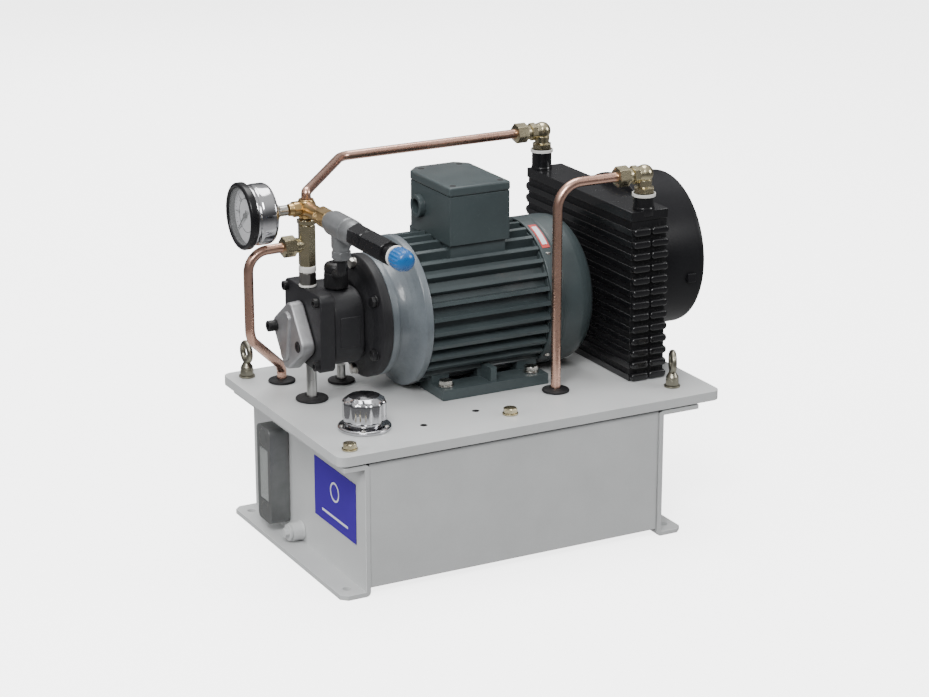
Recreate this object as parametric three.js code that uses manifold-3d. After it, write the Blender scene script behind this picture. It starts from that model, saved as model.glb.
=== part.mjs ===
// Hydraulic power unit: oil tank and lid plate, foot-mounted motor, vane pump with its
// relief valve and gauge, copper tubing, and an air-blast oil cooler.
// Millimetres, +Z up. X runs along the motor axis towards the cooler, -Y is the tank's long front side.
import * as THREE from 'three';
import { mergeVertices } from 'three/addons/utils/BufferGeometryUtils.js';
import Module from 'manifold-3d';

const wasm = await Module();
wasm.setup();

// ---------- driving dimensions ----------
const GAP = 0.3; // clearance between touching solids
const TANK = { length: 340, width: 272, top: 138, wall: 3, plate: 5, raised: 8, inset: 2 };
const FOOT = { reach: 26, hole: 4.5, holeY: 118 };
const LID = { length: 436, width: 291, x: 20, y: 7.5, bottom: 140, thick: 10, corner: 10 };
const DECK = LID.bottom + LID.thick; // top face of the lid
const MOTOR = { y: 40, height: 80, radius: 78, left: -44, right: 92, bore: 62, footA: 125, footB: 100, footX: 27 };
const AXIS_Z = DECK + MOTOR.height; // motor and pump axis
const SHAFT_BORE = 8.3;
const PUMP = { left: -154, right: -104, y: 40, width: 88, bottom: 188, top: 269, bore: 31 };
const COVER = { y: 46, z: 217.5, tilt: 0.16, boltReach: 27 };
const COLUMN = { x: -147.5, y: 40 };
const TEE_Z = 350.5; // height of the tee, gauge and relief valve
const VALVE = { bodyStart: -18, bodyEnd: -76, housingEnd: -149, neckEnd: -164, knobEnd: -186, portY: -41 };
const GAUGE = { front: -221, back: -189, stem: -170, radius: 31, bezel: 34 };
const TUBE_R = 5; // 10 mm copper and steel tube
const INLET = { x: 180, y: 140, z: 374 };
const RETURN = { x: 187, y: -60, z: 369, dropX: 85 };
const COOLER = { left: 167, right: 211, front: -75, rear: 155, top: 332, pitch: 13, tooth: 7 };
const SHROUD = { y: 40, z: 257, radius: 83, end: 276 };
const PIPES = {
  suction: { x: -148, y: 34, r: 5.3, hole: 12.5, flange: 16.5 },
  caseDrain: { x: -97, y: 72, r: TUBE_R, hole: 10, flange: 14.5 },
  returnLine: { x: RETURN.dropX, y: RETURN.y, r: TUBE_R, hole: 10, flange: 14.5 },
  leak: { x: -152, y: 100.5, r: TUBE_R, hole: 10, flange: 14.5 },
};
const FILLER = { x: -138, y: -69, flange: 27, neck: 18, bore: 15, cap: 22.5 };
const LID_BOLT = { x: -178, y: -119 };
const EYES = { rearLeft: { x: -178, y: 132, turn: 0 }, frontRight: { x: 199, y: -104, turn: -0.42 } };
const TAPPED = [{ x: -17, y: -76 }, { x: -83, y: -90 }, { x: 9, y: -101 }];
const BOX = { left: -10.5, right: 58.5, front: -8, rear: 92, bottom: 304, cover: 355, top: 365 };
const LEVEL = { y: 61, z: 67, width: 33, height: 104, depth: 22 };
const DRAIN = { y: 17, z: 16.5, radius: 9.5, bore: 6.5, reach: 13 };
const ORIGIN = { x: 27.5, y: -15.5 }; // centre of the whole unit's plan box

// ---------- materials ----------
const FINISH = {
  greyPaint: [0xb4b8ba, 0.45, 0.0],
  motorPaint: [0x55666c, 0.5, 0.0],
  blackPaint: [0x1b1c1f, 0.5, 0.0],
  castAluminium: [0xa9aaac, 0.45, 0.9],
  copper: [0xc08068, 0.35, 1.0],
  zinc: [0xa79c74, 0.35, 1.0],
  brass: [0xb98a4e, 0.35, 1.0],
  steel: [0x9a9da0, 0.35, 1.0],
  chrome: [0xc8cacc, 0.15, 1.0],
  castIron: [0x6e7072, 0.6, 0.6],
  rubber: [0x17181a, 0.8, 0.0],
  blueKnob: [0x2f7fb8, 0.4, 0.0],
  dial: [0x202024, 0.5, 0.0],
  lens: [0xdfe6ea, 0.05, 0.0],
};

function finish(name) {
  const [color, roughness, metalness] = FINISH[name];
  return new THREE.MeshStandardMaterial({ color, roughness, metalness });
}

// ---------- shape helpers ----------
// Joins shared corners, drops collapsed triangles and turns the faces outward.
function closed(geometry) {
  const bare = geometry.index ? geometry.toNonIndexed() : geometry.clone();
  bare.deleteAttribute('normal');
  bare.deleteAttribute('uv');
  const merged = mergeVertices(bare, 1e-4);
  const p = merged.attributes.position;
  const at = (i) => new THREE.Vector3().fromBufferAttribute(p, i);
  const tris = [];
  let volume = 0;
  for (let i = 0; i < merged.index.count; i += 3) {
    const t = [0, 1, 2].map((k) => merged.index.getX(i + k));
    if (new Set(t).size < 3) continue;
    volume += at(t[0]).dot(at(t[1]).cross(at(t[2])));
    tris.push(t);
  }
  if (volume < 0) tris.forEach((t) => t.reverse());
  merged.setIndex(tris.flat());
  return merged;
}

function toSolid(geometry) {
  const g = closed(geometry);
  return new wasm.Manifold(new wasm.Mesh({
    numProp: 3,
    vertProperties: new Float32Array(g.attributes.position.array),
    triVerts: new Uint32Array(g.index.array),
  }));
}

function toGeometry(solid) {
  const mesh = solid.getMesh();
  const g = new THREE.BufferGeometry();
  g.setAttribute('position', new THREE.BufferAttribute(mesh.vertProperties, 3));
  g.setIndex(new THREE.BufferAttribute(mesh.triVerts, 1));
  return g;
}

const join = (...parts) => toGeometry(parts.map(toSolid).reduce((a, b) => a.add(b)));
const cut = (body, ...tools) => toGeometry(tools.map(toSolid).reduce((a, b) => a.subtract(b), toSolid(body)));

// A box between two opposite corners.
function block(x0, x1, y0, y1, z0, z1) {
  return new THREE.BoxGeometry(x1 - x0, y1 - y0, z1 - z0).translate((x0 + x1) / 2, (y0 + y1) / 2, (z0 + z1) / 2);
}

// A profile of [distance along the axis, radius] pairs turned round X, Y or Z.
function turned(axis, profile, sides = 12) {
  const g = new THREE.LatheGeometry(profile.map(([h, r]) => new THREE.Vector2(r, h)), sides);
  if (axis === 'x') g.rotateZ(-Math.PI / 2);
  if (axis === 'z') g.rotateX(Math.PI / 2);
  return g;
}

// A solid round or hexagonal bar from one place on its axis to another.
const bar = (axis, from, to, r, sides = 12) => turned(axis, [[from, 0], [from, r], [to, r], [to, 0]], sides);
const hexBar = (axis, from, to, flats) => bar(axis, from, to, flats / Math.sqrt(3), 6);
const ring = (axis, from, to, inner, outer, sides = 12) =>
  turned(axis, [[from, inner], [from, outer], [to, outer], [to, inner], [from, inner]], sides);

function roundedRect(x0, x1, y0, y1, r) {
  const s = new THREE.Shape();
  s.moveTo(x0 + r, y0);
  s.lineTo(x1 - r, y0).absarc(x1 - r, y0 + r, r, -Math.PI / 2, 0, false);
  s.lineTo(x1, y1 - r).absarc(x1 - r, y1 - r, r, 0, Math.PI / 2, false);
  s.lineTo(x0 + r, y1).absarc(x0 + r, y1 - r, r, Math.PI / 2, Math.PI, false);
  s.lineTo(x0, y0 + r).absarc(x0 + r, y0 + r, r, Math.PI, Math.PI * 1.5, false);
  return s;
}

function addHole(shape, x, y, r, sides = 12) {
  const points = Array.from({ length: sides }, (_, i) => {
    const a = (i / sides) * Math.PI * 2;
    return new THREE.Vector2(x + r * Math.cos(a), y + r * Math.sin(a));
  });
  shape.holes.push(new THREE.Path(points));
}

const outline = (points) => new THREE.Shape(points.map(([x, y]) => new THREE.Vector2(x, y)));
const flat = (shape, z0, z1, curveSegments = 4) =>
  new THREE.ExtrudeGeometry(shape, { depth: z1 - z0, bevelEnabled: false, curveSegments }).translate(0, 0, z0);

// An outline drawn in Y and Z, carried along X.
function alongX(shape, x0, x1, curveSegments = 4) {
  const turn = new THREE.Matrix4().makeBasis(
    new THREE.Vector3(0, 1, 0), new THREE.Vector3(0, 0, 1), new THREE.Vector3(1, 0, 0));
  return flat(shape, x0, x1, curveSegments).applyMatrix4(turn);
}

// An outline drawn in X and Z, carried along Y.
const alongY = (shape, y0, y1, curveSegments = 4) => flat(shape, -y1, -y0, curveSegments).rotateX(Math.PI / 2);

// A round tube through corner points, each corner rounded by the bend radius.
function tube(corners, radius, bend, steps = 36, sides = 8) {
  const points = corners.map((c) => new THREE.Vector3(...c));
  const path = new THREE.CurvePath();
  let from = points[0];
  for (let i = 1; i < points.length - 1; i++) {
    const back = points[i - 1].clone().sub(points[i]);
    const on = points[i + 1].clone().sub(points[i]);
    const reach = Math.min(bend, back.length() / 2, on.length() / 2);
    const a = points[i].clone().addScaledVector(back.normalize(), reach);
    const b = points[i].clone().addScaledVector(on.normalize(), reach);
    path.add(new THREE.LineCurve3(from, a));
    path.add(new THREE.QuadraticBezierCurve3(a, points[i], b));
    from = b;
  }
  path.add(new THREE.LineCurve3(from, points[points.length - 1]));
  const section = outline(Array.from({ length: sides }, (_, i) => {
    const a = ((i + 0.5) / sides) * Math.PI * 2;
    return [radius * Math.cos(a), radius * Math.sin(a)];
  }));
  return new THREE.ExtrudeGeometry(section, { steps, bevelEnabled: false, extrudePath: path });
}

const unit = new THREE.Group();

// Adds one named piece; its geometry is drawn about its own mounting point.
function add(name, look, geometry, x = 0, y = 0, z = 0) {
  const mesh = new THREE.Mesh(closed(geometry), finish(look));
  mesh.name = name;
  mesh.position.set(x, y, z);
  unit.add(mesh);
  return mesh;
}

// ---------- tank ----------
function tankShell() {
  const half = TANK.width / 2 - TANK.inset;
  const inner = half - TANK.wall;
  const floor = TANK.raised + TANK.wall;
  const trough = outline([
    [-half, TANK.top], [-half, TANK.raised], [half, TANK.raised], [half, TANK.top],
    [inner, TANK.top], [inner, floor], [-inner, floor], [-inner, TANK.top],
  ]);
  const reach = TANK.length / 2 - TANK.plate - GAP;
  return alongX(trough, -reach, reach);
}

// End wall bent outward into a foot below and a bolting flange under the lid.
function endPlate(flangeReach) {
  const inside = TANK.length / 2 - TANK.plate;
  const wall = TANK.length / 2;
  const toe = wall + FOOT.reach;
  const flange = wall + flangeReach;
  const t = TANK.plate;
  const s = new THREE.Shape();
  s.moveTo(toe, 0);
  s.lineTo(inside + t, 0).absarc(inside + t, t, t, -Math.PI / 2, -Math.PI, true);
  s.lineTo(inside, TANK.top - t).absarc(inside + t, TANK.top - t, t, Math.PI, Math.PI / 2, true);
  s.lineTo(flange, TANK.top).lineTo(flange, TANK.top - t).lineTo(wall, TANK.top - t);
  s.lineTo(wall, t).lineTo(toe, t);
  return alongY(s, -TANK.width / 2, TANK.width / 2);
}

function footCuts() {
  const x = TANK.length / 2 + FOOT.reach / 2;
  const toe = TANK.length / 2 + FOOT.reach;
  const cuts = [];
  for (const side of [-1, 1]) {
    cuts.push(bar('z', -1, 6, FOOT.hole, 12).translate(x, side * FOOT.holeY, 0));
    cuts.push(new THREE.BoxGeometry(9, 9, 12).rotateZ(Math.PI / 4).translate(toe, (side * TANK.width) / 2, 0));
  }
  return cuts;
}

function buildTank() {
  add('tank_shell', 'greyPaint', tankShell());
  const boltHole = (x, y) => bar('z', TANK.top - 9, TANK.top + 2, 4.6, 8).translate(x, y, 0);
  const wallHole = (y, z, r) => bar('x', TANK.length / 2 - 9, TANK.length / 2 + 2, r, 16).translate(0, y, z);
  // The left plate is drawn on the +X side and turned half round, so its Y places change sign.
  const left = cut(endPlate(22), ...footCuts(),
    boltHole(-LID_BOLT.x, -LID_BOLT.y), boltHole(-EYES.rearLeft.x, -EYES.rearLeft.y),
    wallHole(-DRAIN.y, DRAIN.z, DRAIN.bore));
  add('left_end_plate', 'greyPaint', left).rotation.z = Math.PI;
  const right = cut(endPlate(42), ...footCuts(), boltHole(EYES.frontRight.x, EYES.frontRight.y));
  add('right_end_plate', 'greyPaint', right);
  const inner = TANK.width / 2 - TANK.inset - TANK.wall - GAP;
  const floor = TANK.raised + TANK.wall + GAP;
  add('tank_baffle', 'greyPaint', cut(block(38, 41, -inner, inner, floor, 112),
    block(30, 50, inner - 40, inner + 5, floor - 5, floor + 24)));
  const seat = TANK.length / 2 - 1;
  const strip = roundedRect(-seat, seat, -TANK.width / 2 + 1, TANK.width / 2 - 1, 3);
  strip.holes.push(new THREE.Path(roundedRect(-159, 159, -122, 122, 3).getPoints(2)));
  add('lid_gasket', 'rubber', flat(strip, TANK.top + GAP, LID.bottom - GAP));
}

function lidPlate() {
  const s = roundedRect(LID.x - LID.length / 2, LID.x + LID.length / 2,
    LID.y - LID.width / 2, LID.y + LID.width / 2, LID.corner);
  for (const p of Object.values(PIPES)) addHole(s, p.x, p.y, p.hole + GAP, 16);
  addHole(s, FILLER.x, FILLER.y, FILLER.bore + 1.5, 16);
  for (const p of [LID_BOLT, EYES.rearLeft, EYES.frontRight, TAPPED[2]]) addHole(s, p.x, p.y, 4.6, 8);
  for (const p of TAPPED.slice(0, 2)) addHole(s, p.x, p.y, 3.4, 8);
  for (const { x, y } of footBoltPlaces()) addHole(s, x, y, 4.6, 8);
  return flat(s, LID.bottom, DECK, 4);
}

function footBoltPlaces() {
  const places = [];
  for (const side of [-1, 1]) {
    for (const end of [-1, 1]) {
      places.push({ x: MOTOR.footX + (end * MOTOR.footB) / 2, y: MOTOR.y + (side * MOTOR.footA) / 2 });
    }
  }
  return places;
}

// M8 hex bolt with its washer; the washer's underside is at height 0.
function hexBolt(length) {
  const washer = bar('z', GAP, 1.8, 8, 12);
  const shank = bar('z', -length, 1, 4, 8);
  return join(washer, shank, hexBar('z', 1.5, 7.2, 13));
}

// Lifting eye: threaded shank, nut, collar, and a ring that stands on the collar.
function liftingEye() {
  const base = turned('z', [[-18, 0], [-18, 4], [GAP, 4], [GAP, 8.5], [2.2, 8.5], [2.2, 5], [13, 5], [13, 0]], 10);
  const eye = new THREE.TorusGeometry(9.5, 3.2, 6, 14).rotateX(Math.PI / 2).translate(0, 0, 27);
  return join(base, hexBar('z', 2, 9, 13), turned('z', [[8.5, 0], [8.5, 6.5], [11, 6.5], [18, 3.5], [18, 0]], 10), eye);
}

function buildLid() {
  add('lid_plate', 'greyPaint', lidPlate());
  add('lid_bolt', 'zinc', hexBolt(17), LID_BOLT.x, LID_BOLT.y, DECK);
  for (const [name, eye] of [['lifting_eye_rear_left', EYES.rearLeft], ['lifting_eye_front_right', EYES.frontRight]]) {
    add(name, 'zinc', liftingEye(), eye.x, eye.y, DECK).rotation.z = Math.PI / 2 + eye.turn;
  }
}

// ---------- tank fittings ----------
function buildTankFittings() {
  const wall = -TANK.length / 2;
  const frame = roundedRect(-LEVEL.width / 2, LEVEL.width / 2, -LEVEL.height / 2, LEVEL.height / 2, 6);
  const body = cut(alongX(frame, -LEVEL.depth, -GAP),
    block(-LEVEL.depth - 1, -6, -LEVEL.width / 2 + 6, LEVEL.width / 2 - 6, -28, 28));
  add('level_gauge_body', 'blackPaint', body, wall, LEVEL.y, LEVEL.z);
  add('drain_boss', 'greyPaint', ring('x', -DRAIN.reach, -GAP, DRAIN.bore + GAP, DRAIN.radius), wall, DRAIN.y, DRAIN.z);
  const plug = join(turned('x', [[-2, 0], [-2, DRAIN.bore - GAP], [-DRAIN.reach - GAP, DRAIN.bore - GAP],
    [-DRAIN.reach - GAP, 8], [-DRAIN.reach - 3, 8], [-DRAIN.reach - 3, 0]]),
  hexBar('x', -DRAIN.reach - 7, -DRAIN.reach - 2, 9));
  add('drain_plug', 'steel', plug, wall, DRAIN.y, DRAIN.z);

  const { flange, neck, bore } = FILLER;
  add('filler_flange', 'chrome', turned('z', [[GAP, bore + GAP], [GAP, flange], [4, flange], [5, neck + 2],
    [6, neck], [20, neck], [20, bore + GAP], [GAP, bore + GAP]], 20), FILLER.x, FILLER.y, DECK);
  add('filler_strainer', 'steel', turned('z', [[-75, 0], [-75, bore - 1], [19.5, bore - 1], [19.5, bore - 2],
    [-74, bore - 2], [-74, 0]], 12), FILLER.x, FILLER.y, DECK);
  add('filler_seal', 'rubber', ring('z', 20 + GAP, 22, bore, neck - GAP), FILLER.x, FILLER.y, DECK);
  add('filler_cap', 'chrome', fillerCap(), FILLER.x, FILLER.y, DECK);
}

// Fluted cap with a skirt that comes down round the neck.
function fillerCap() {
  const flutes = 10;
  const s = outline(Array.from({ length: flutes * 4 }, (_, i) => {
    const a = (i / (flutes * 4)) * Math.PI * 2;
    const r = FILLER.cap - 1.5 * (0.5 - 0.5 * Math.cos(a * flutes));
    return [r * Math.cos(a), r * Math.sin(a)];
  }));
  const crown = turned('z', [[29, 0], [29, 20], [32, 19], [35, 15], [36, 8], [36, 0]], 16);
  return cut(join(flat(s, 9, 30), crown), bar('z', 8, 22 + GAP, FILLER.neck + 0.7));
}

// ---------- pipes through the lid ----------
function grommet(pipe) {
  const top = DECK + GAP;
  return turned('z', [[LID.bottom + 1, pipe.r + GAP], [LID.bottom + 1, pipe.hole], [top, pipe.hole], [top, pipe.flange],
    [top + 2, pipe.flange], [top + 4, pipe.flange - 4], [top + 4, pipe.r + GAP], [LID.bottom + 1, pipe.r + GAP]], 12);
}

function buildPipes() {
  const names = { suction: 'grommet_suction', caseDrain: 'grommet_case_drain', returnLine: 'grommet_return', leak: 'grommet_leak' };
  for (const [key, name] of Object.entries(names)) add(name, 'rubber', grommet(PIPES[key]), PIPES[key].x, PIPES[key].y, 0);
  const s = PIPES.suction;
  add('suction_pipe', 'steel', bar('z', 48, PUMP.bottom - GAP, s.r, 12), s.x, s.y, 0);
  add('suction_strainer', 'steel', turned('z', [[18, 0], [18, 15], [66, 15], [70, 12], [74, 12], [74, s.r + GAP],
    [47, s.r + GAP], [47, 0]], 12), s.x, s.y, 0);
  const d = PIPES.caseDrain;
  add('case_drain_pipe', 'steel', bar('z', 60, 168.5, d.r, 10), d.x, d.y, 0);
}

// ---------- motor ----------
function finnedOutline() {
  const fins = 32;
  const root = MOTOR.radius - 10;
  const points = [];
  for (let i = 0; i < fins; i++) {
    const middle = ((i + 0.5) / fins) * Math.PI * 2;
    for (const [turn, r] of [[-0.05, root], [-0.026, MOTOR.radius], [0.026, MOTOR.radius], [0.05, root]]) {
      points.push([r * Math.cos(middle + turn), r * Math.sin(middle + turn)]);
    }
  }
  return outline(points);
}

function motorFrame() {
  const x0 = MOTOR.left + GAP;
  const x1 = MOTOR.right - GAP;
  const sole = -MOTOR.height + GAP;
  const rail = (side) => block(-33, 90, ...[side * 48, side * 76].sort((a, b) => a - b), sole, sole + 11);
  const webs = [[-33, -13], [20, 34], [67, 90]].map(([a, b]) => block(a, b, -50, 50, sole, -40));
  const ribs = [-1, 1].map((side) => block(24, 31, ...[side * 46, side * 72].sort((a, b) => a - b), sole, -54));
  const pad = block(BOX.left + 3, BOX.right - 3, -44, 49, 55, BOX.bottom - AXIS_Z - GAP);
  const body = join(alongX(finnedOutline(), x0, x1), rail(-1), rail(1), ...webs, ...ribs, pad);
  const holes = footBoltPlaces().map((p) => bar('z', sole - 2, sole + 14, 4.6, 8).translate(p.x, p.y - MOTOR.y, 0));
  const seat = block(BOX.left - 1, BOX.right + 1, -52, 56, BOX.bottom - AXIS_Z - GAP, 90);
  return cut(body, bar('x', x0 - 1, x1 + 1, MOTOR.bore, 24), seat, ...holes);
}

function driveEndShield() {
  const face = MOTOR.left - 38;
  const rim = MOTOR.radius + 0.5;
  return turned('x', [[face, 15], [face, 64], [face + 8, 64], [face + 9, 60], [face + 17, 62], [face + 26, 70],
    [face + 30, rim], [face + 38, rim], [face + 38, 60], [face + 30, 58], [face + 28, 26], [face + 27, 20.3],
    [face + 14, 20.3], [face + 14, 15], [face, 15]], 22);
}

function rearEndShield() {
  const x = MOTOR.right;
  const spigot = MOTOR.bore - 1.5;
  return turned('x', [[x - 4, 52], [x - 4, spigot], [x, spigot], [x, 74], [x + 4, 74], [x + 6, 30], [x + 12, 26],
    [x + 12, 13], [x + 9, 13], [x + 9, 20.3], [x - 2, 20.3], [x - 2, 27], [x + 1, 34], [x + 1, 52], [x - 4, 52]], 24);
}

function fanCowl() {
  const x = MOTOR.right + GAP;
  const r = MOTOR.radius + 0.8;
  const end = 150;
  const shell = turned('x', [[x, r - 2], [x, r], [end - 18, r], [end - 8, r - 4], [end - 2, r - 14], [end, r - 30],
    [end, 0], [end - 2, 0], [end - 2, r - 30], [end - 4, r - 15], [end - 9, r - 6], [end - 18, r - 2], [x, r - 2]], 24);
  const slots = [];
  for (let i = 0; i < 6; i++) slots.push(block(end - 6, end + 4, 16, 44, -5, 5).rotateX((i / 6) * Math.PI * 2));
  return cut(shell, ...slots);
}

function motorFan() {
  const blades = [];
  for (let i = 0; i < 6; i++) blades.push(block(113, 128, 17, 62, -1.2, 1.2).rotateX((i / 6) * Math.PI * 2));
  return cut(join(bar('x', 108, 128, 18), bar('x', 110, 113.5, 62, 20), ...blades), bar('x', 100, 140, 10.8));
}

function buildMotor() {
  const at = [0, MOTOR.y, AXIS_Z];
  add('motor_frame', 'motorPaint', motorFrame(), ...at);
  add('drive_end_shield', 'motorPaint', driveEndShield(), ...at);
  add('rear_end_shield', 'motorPaint', rearEndShield(), ...at);
  add('fan_cowl', 'motorPaint', fanCowl(), ...at);
  add('motor_fan', 'blackPaint', motorFan(), ...at);
  add('stator_core', 'castIron', ring('x', -28, 76, 38.6, MOTOR.bore - 1, 24), ...at);
  // Rotor core and shaft in one; the drive end is bored for the pump shaft.
  add('rotor_shaft', 'steel', turned('x', [[-66, 0], [-66, SHAFT_BORE], [-90, SHAFT_BORE], [-90, 13.5], [-68.5, 13.5], [-68.5, 12.5],
    [-28, 12.5], [-28, 38], [76, 38], [76, 12.5], [106, 12.5], [106, 10], [132, 10], [132, 0]], 16), ...at);
  add('drive_bearing', 'steel', ring('x', -66, -55.5, 13.4, 20), ...at);
  add('rear_bearing', 'steel', ring('x', 91, 100.5, 13.4, 20), ...at);
  const names = ['front_left', 'front_right', 'rear_left', 'rear_right'];
  footBoltPlaces().forEach((p, i) => add(`motor_bolt_${names[i]}`, 'steel', hexBolt(20), p.x, p.y, DECK + 11 + GAP));
}

// Plan outline of the terminal box: square in front, corners cut at the back.
function boxOutline(margin) {
  const c = 12 - margin * 0.5;
  const [x0, x1, y0, y1] = [BOX.left + margin, BOX.right - margin, BOX.front + margin, BOX.rear - margin];
  return outline([[x0, y0], [x1, y0], [x1, y1 - c], [x1 - c, y1], [x0 + c, y1], [x0, y1 - c]]);
}

function buildTerminalBox() {
  const hubAt = [0, 58, 332];
  const hub = bar('x', BOX.left - 6, BOX.left + 2, 12).translate(...hubAt);
  const shell = cut(join(flat(boxOutline(0), BOX.bottom, BOX.cover), hub),
    flat(boxOutline(4), BOX.bottom + 5, BOX.cover + 1),
    bar('x', BOX.left - 8, BOX.left + 6, 8).translate(...hubAt));
  add('terminal_box', 'motorPaint', shell);
  add('terminal_box_cover', 'motorPaint', flat(boxOutline(-0.8), BOX.cover + GAP, BOX.top));
}

// ---------- pump ----------
function pumpBody() {
  const half = PUMP.width / 2;
  const profile = roundedRect(-half, half, PUMP.bottom - AXIS_Z, PUMP.top - AXIS_Z, 7);
  const port = (x, y, z0, z1, r) => bar('z', z0 - AXIS_Z, z1 - AXIS_Z, r, 16).translate(x, y - PUMP.y, 0);
  return cut(alongX(profile, PUMP.left, PUMP.right),
    bar('x', PUMP.left + 9, PUMP.right + 1, PUMP.bore, 20),
    port(COLUMN.x + 6, COLUMN.y, AXIS_Z + 25, PUMP.top - 6, 4));
}

// Two-bolt end cover: a square with round corners, stood on its corner and tilted.
function pumpCover() {
  const s = roundedRect(-29.5, 29.5, -29.5, 29.5, 11);
  const boss = new THREE.Shape().absarc(0, 19, 8, 0, Math.PI, false).absarc(0, -19, 8, Math.PI, Math.PI * 2, false);
  const plate = flat(s, GAP, 15).rotateZ(Math.PI / 4);
  const raised = flat(boss, 14, 18.5, 8);
  const screws = [-1, 1].map((side) => bar('z', 6, 20, 6.6, 16).translate(side * COVER.boltReach, 0, 0));
  const body = cut(join(plate, raised), ...screws);
  const heads = [-1, 1].map((side) => bar('z', 5, side < 0 ? 25 : 13, 6, 12).translate(side * COVER.boltReach, 0, 0));
  const towardsPump = new THREE.Matrix4().makeBasis(
    new THREE.Vector3(0, -1, 0), new THREE.Vector3(0, 0, 1), new THREE.Vector3(-1, 0, 0));
  return join(body, ...heads).rotateZ(-COVER.tilt).applyMatrix4(towardsPump);
}

function pumpRotor() {
  const slots = [];
  for (let i = 0; i < 8; i++) {
    slots.push(block(PUMP.left + 8, -112, 18, 32, -1, 1).rotateX((i / 8) * Math.PI * 2));
  }
  return cut(turned('x', [[PUMP.left + 11, 0], [PUMP.left + 11, 28], [-114, 28], [-114, 8], [-70, 8], [-70, 0]], 20), ...slots);
}

function buildPump() {
  const at = [0, PUMP.y, AXIS_Z];
  add('bell_housing', 'blackPaint', turned('x', [[-103.7, 10], [-103.7, 42], [-98, 50], [-93, 64], [-82.3, 64], [-82.3, 30],
    [-97, 30], [-97, 10], [-103.7, 10]], 22), ...at);
  add('pump_body', 'blackPaint', pumpBody(), ...at);
  add('pump_end_cover', 'castAluminium', pumpCover(), PUMP.left, COVER.y, COVER.z);
  add('pump_rotor', 'steel', pumpRotor(), ...at);
  const cap = turned('z', [[GAP, 0], [GAP, 12.5], [22, 12.5], [25, 10.5], [26.5, 6.5], [20, 5], [20, 0]], 16);
  add('return_fitting', 'blackPaint', cap, -123, 25, PUMP.top);
}

// ---------- outlet column, tee, relief valve and gauge ----------
function outletColumn() {
  const base = PUMP.top;
  const round = turned('z', [[base + GAP, 0], [base + GAP, 9], [base + 2.5, 9], [base + 2.5, 7], [340, 7], [340, 0]], 12);
  const band = bar('z', 284, 291, 9, 12);
  const side = bar('x', -9.5, 0, 6.5, 16).translate(0, 0, 313);
  return join(round, hexBar('z', base + 2, 285, 16), band, hexBar('z', 290.5, 334, 16), hexBar('z', 333.5, 339, 18), side);
}

function pressureTee() {
  return join(
    bar('z', 340.5 - TEE_Z, 9.5, 7.7, 14),
    bar('x', -20, 0, 7, 16), hexBar('x', -15, -8, 15),
    bar('y', -50, 0, 7.5, 16), hexBar('y', VALVE.bodyStart + GAP - COLUMN.y, -34, 18),
    block(-8.8, 8.8, -8.8, 8.8, -8.4, 8.2));
}

function reliefBody() {
  const start = VALVE.bodyStart;
  const drop = (z0, z1, r, sides = 12) => bar('z', z0, z1, r, sides).translate(0, VALVE.portY, 0);
  return join(
    turned('y', [[VALVE.bodyEnd, 0], [VALVE.bodyEnd, 12], [VALVE.bodyEnd + 6, 14], [start - 9, 15],
      [start - 3, 12.5], [start, 12.5], [start, 0]], 18),
    drop(-24, 0, 11), drop(-33, -23, 9), hexBar('z', -31, -25, 20).translate(0, VALVE.portY, 0));
}

function buildPressureLine() {
  add('outlet_column', 'zinc', outletColumn(), COLUMN.x, COLUMN.y, 0);
  add('pressure_tee', 'brass', pressureTee(), COLUMN.x, COLUMN.y, TEE_Z);
  add('relief_valve_body', 'castIron', reliefBody(), COLUMN.x, 0, TEE_Z);
  const { bodyEnd, housingEnd, neckEnd, knobEnd, portY } = VALVE;
  const housing = join(hexBar('y', housingEnd, bodyEnd - GAP, 22.5), bar('y', neckEnd, housingEnd + 2, 8.5, 14),
    bar('y', neckEnd, neckEnd + 3, 11.5, 14));
  add('relief_spring_housing', 'blackPaint', housing, COLUMN.x, 0, TEE_Z);
  const knob = turned('y', [[neckEnd - GAP, 0], [neckEnd - GAP, 10.8], [neckEnd - 3, 11.6], [knobEnd + 8, 11.6],
    [knobEnd + 2, 9.5], [knobEnd, 5], [knobEnd, 0]], 16);
  add('relief_knob', 'blueKnob', knob, COLUMN.x, 0, TEE_Z);
  const port = TEE_Z - 33 - GAP;
  add('relief_return_tube', 'blackPaint', tube([[COLUMN.x, portY, port], [COLUMN.x, portY, 304],
    [-129.4, 10.9, 286.6]], 4.5, 12, 12), 0, 0, 0);

  const { front, back, stem, radius, bezel } = GAUGE;
  const gaugeAt = [0, COLUMN.y, TEE_Z];
  const gaugeCase = join(turned('x', [[front + 9, 0], [front + 9, radius - 2], [front, radius - 2], [front, bezel - 2],
    [front + 2, bezel], [front + 8, bezel], [front + 9, radius], [back - 2, radius], [back, radius - 3], [back, 7],
    [stem - 10, 7], [stem - 10, 0]], 24), hexBar('x', back + 1, stem - 8, 14), bar('x', stem - 9, stem + 1, 5.5, 16));
  add('gauge_case', 'chrome', gaugeCase, ...gaugeAt);
  const needle = join(bar('x', front + 5.5, front + 8, 3, 14), outlineNeedle());
  add('gauge_pointer', 'dial', needle, ...gaugeAt);
  add('gauge_lens', 'lens', bar('x', front + 2, front + 4, radius - 2 - GAP, 24), ...gaugeAt);
}

// Needle that points down and to the far side, towards zero on the dial.
function outlineNeedle() {
  const s = outline([[-6, -1.6], [23, -0.5], [23, 0.5], [-6, 1.6]]);
  return alongX(s, GAUGE.front + 6, GAUGE.front + 7).rotateX(-Math.PI / 4);
}

// ---------- copper tubes ----------
function elbow(port, height) {
  const leg = height - port;
  return join(hexBar('z', GAP, 6, 20), bar('z', 5, leg, 7.5, 12), new THREE.SphereGeometry(9.5, 10, 6).translate(0, 0, leg),
    bar('x', -16, 0, 7.5, 12).translate(0, 0, leg), hexBar('x', -15, -9, 17).translate(0, 0, leg));
}

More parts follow.
